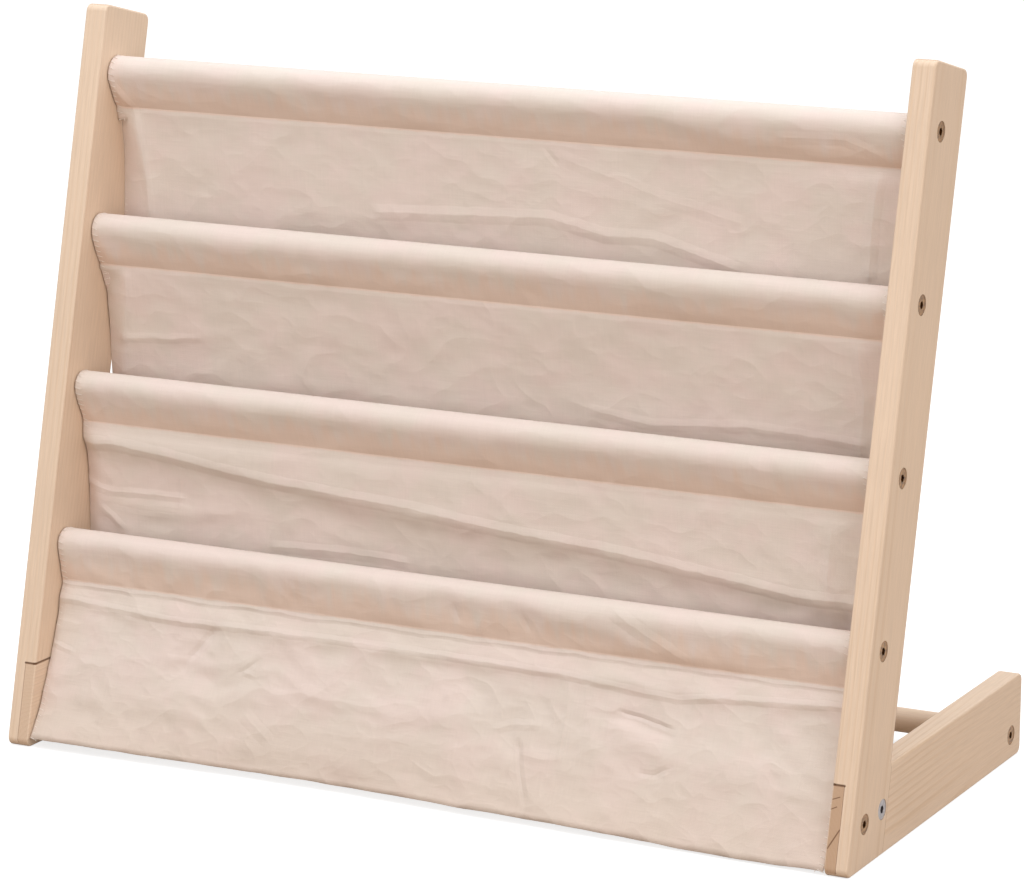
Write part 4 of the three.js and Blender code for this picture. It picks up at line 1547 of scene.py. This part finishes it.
def screw_tree(material):
    """Countersunk heads with a hex socket, one at each point, facing along its outward direction."""
    sizes = ["Head Radius", "Shank Radius", "Rim", "Recess", "Hex Radius", "Hex Depth"]
    group, tree, given = tree_with_inputs("socket_screws", sizes)
    head, shank = given.outputs["Head Radius"], given.outputs["Shank Radius"]
    rim, recess = given.outputs["Rim"], given.outputs["Recess"]
    cone_depth = tree.math("SUBTRACT", head, shank)
    below = tree.math("ADD", tree.math("ADD", recess, rim), cone_depth)
    cone = tree.add(
        "GeometryNodeMeshCone",
        {"Vertices": head_vertices, "Radius Top": head, "Radius Bottom": shank, "Depth": cone_depth},
    )
    cone = lowered(tree, cone, below)
    disc = tree.add(
        "GeometryNodeMeshCylinder", {"Vertices": head_vertices, "Radius": head, "Depth": rim}
    )
    disc = lowered(tree, disc, tree.math("ADD", recess, tree.math("MULTIPLY", rim, 0.5)))
    hex_height = tree.math("MULTIPLY", given.outputs["Hex Depth"], 2.0)
    hexagon = tree.add(
        "GeometryNodeMeshCylinder",
        {"Vertices": 6, "Radius": given.outputs["Hex Radius"], "Depth": hex_height},
    )
    hexagon = lowered(tree, hexagon, recess)
    whole = tree.add("GeometryNodeMeshBoolean", {1: cone}, operation="UNION", solver="EXACT")
    tree.tree.links.new(disc, whole.node.inputs[1])
    cut = tree.add(
        "GeometryNodeMeshBoolean", {0: whole, 1: hexagon}, operation="DIFFERENCE", solver="EXACT"
    )
    end_tree(group, tree, aligned_instances(tree, given.outputs["Geometry"], cut), material)
    return group


def make_screws(name, nodes, material, slot_name):
    """One piece of all the heads of a kind, each where its CAD node comes out of the board."""
    heads = []
    for node in nodes:
        low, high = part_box(node)
        side = 1 if high.x > 0 else -1
        outer = high.x if side > 0 else low.x
        middle = (low + high) / 2
        heads.append(([(outer + side * head_recess, middle.y, middle.z)], [(side, 0, 0)]))
    piece = join_paths(name, heads)
    sizes = {
        "Head Radius": head_radius,
        "Shank Radius": shank_radius,
        "Rim": head_rim,
        "Recess": head_recess,
        "Hex Radius": hex_radius,
        "Hex Depth": hex_depth,
    }
    apply_tree(piece, screw_tree(material), sizes)
    piece.data.set_sharp_from_angle(angle=smooth_angle)
    set_material(piece, material)
    carry(piece, slot_name, *nodes)


def make_fasteners():
    bronze = metal_material("antique_bronze", bronze_bright, bronze_dark, bronze_roughness)
    zinc = metal_material("zinc_plate", zinc_bright, zinc_dark, zinc_roughness)
    sides = ("left", "right")
    screws = [f"{side}_{rod}_screw" for side in sides for rod in ("bottom_rod", "rear_rod")]
    for side in sides:
        screws += [f"{side}_pocket_rod_screw_{i + 1}" for i in range(pocket_rod_count)]
    make_screws("bronze_socket_screws", screws, bronze, "bronze_screw")
    bolts = [f"{side}_lap_bolt" for side in sides]
    make_screws("zinc_lap_bolts", bolts, zinc, "zinc_hardware")
    for side in sides:
        nut = merged_copy(f"{side}_lap_nut", f"{side}_sleeve_nut")
        set_material(nut, zinc)
        carry(nut, "zinc_hardware", f"{side}_lap_nut")


def make_stage():
    """A floor that reaches past the edges of every picture."""
    corners = [(-1, -1), (1, -1), (1, 1), (-1, 1)]
    places = [(floor_reach * x, floor_reach * y, 0) for x, y in corners]
    mesh = bpy.data.meshes.new("pale_floor")
    mesh.from_pydata(places, [], [(0, 1, 2, 3)])
    floor = new_object("pale_floor", mesh)
    set_material(floor, stage_material("pale_floor"))


def area_light(name, place, width, power, tint):
    lamp = bpy.data.lights.new(name, "AREA")
    lamp.shape = "SQUARE"
    lamp.size = width
    lamp.energy = power
    lamp.color = tint
    made = new_object(name, lamp)
    made.location = place
    way = Vector(lamp_aim) - Vector(place)
    made.rotation_euler = way.to_track_quat("-Z", "Y").to_euler()


def make_lights():
    """The lamps, and a room that lights the shelf softly and that the camera sees as white."""
    for name, settings in lamps.items():
        area_light(name, *settings)
    world = bpy.data.worlds.new("studio")
    bpy.context.scene.world = world
    world.use_nodes = True
    world.node_tree.nodes.clear()
    tree = Tree(world.node_tree)
    room = tree.add("ShaderNodeBackground", {"Color": room_colour, "Strength": room_level})
    seen = tree.add("ShaderNodeBackground", {"Color": white, "Strength": 1.0})
    mixed = tree.add("ShaderNodeMixShader", {"Fac": seen_rays(tree), 1: room, 2: seen})
    tree.add("ShaderNodeOutputWorld", {"Surface": mixed})


def make_camera():
    camera = bpy.data.cameras.new("camera")
    camera.lens = camera_lens
    camera.sensor_width = sensor_width
    camera.clip_end = camera_reach
    made = new_object("camera", camera)
    turn = Matrix.Rotation(camera_turn, 4, "Z")
    dip = Matrix.Rotation(math.pi / 2 - camera_dip, 4, "X")
    roll = Matrix.Rotation(camera_roll, 4, "Z")
    made.matrix_world = Matrix.Translation(camera_place) @ turn @ dip @ roll
    bpy.context.scene.camera = made


make_camera()
make_lights()
make_stage()
make_boards()
make_rods()
make_fasteners()
sheet, grid, seam_rows, cloth_length = make_sling()
outward = outward_of(grid)
thread = thread_material()
sewing = [
    make_seam_stitches(grid, outward, seam_rows, thread),
    make_loose_threads(grid, outward, seam_rows, thread),
]
sewing += make_overcast_edges(grid, outward, thread)

bpy.context.scene.view_settings.view_transform = "Standard"
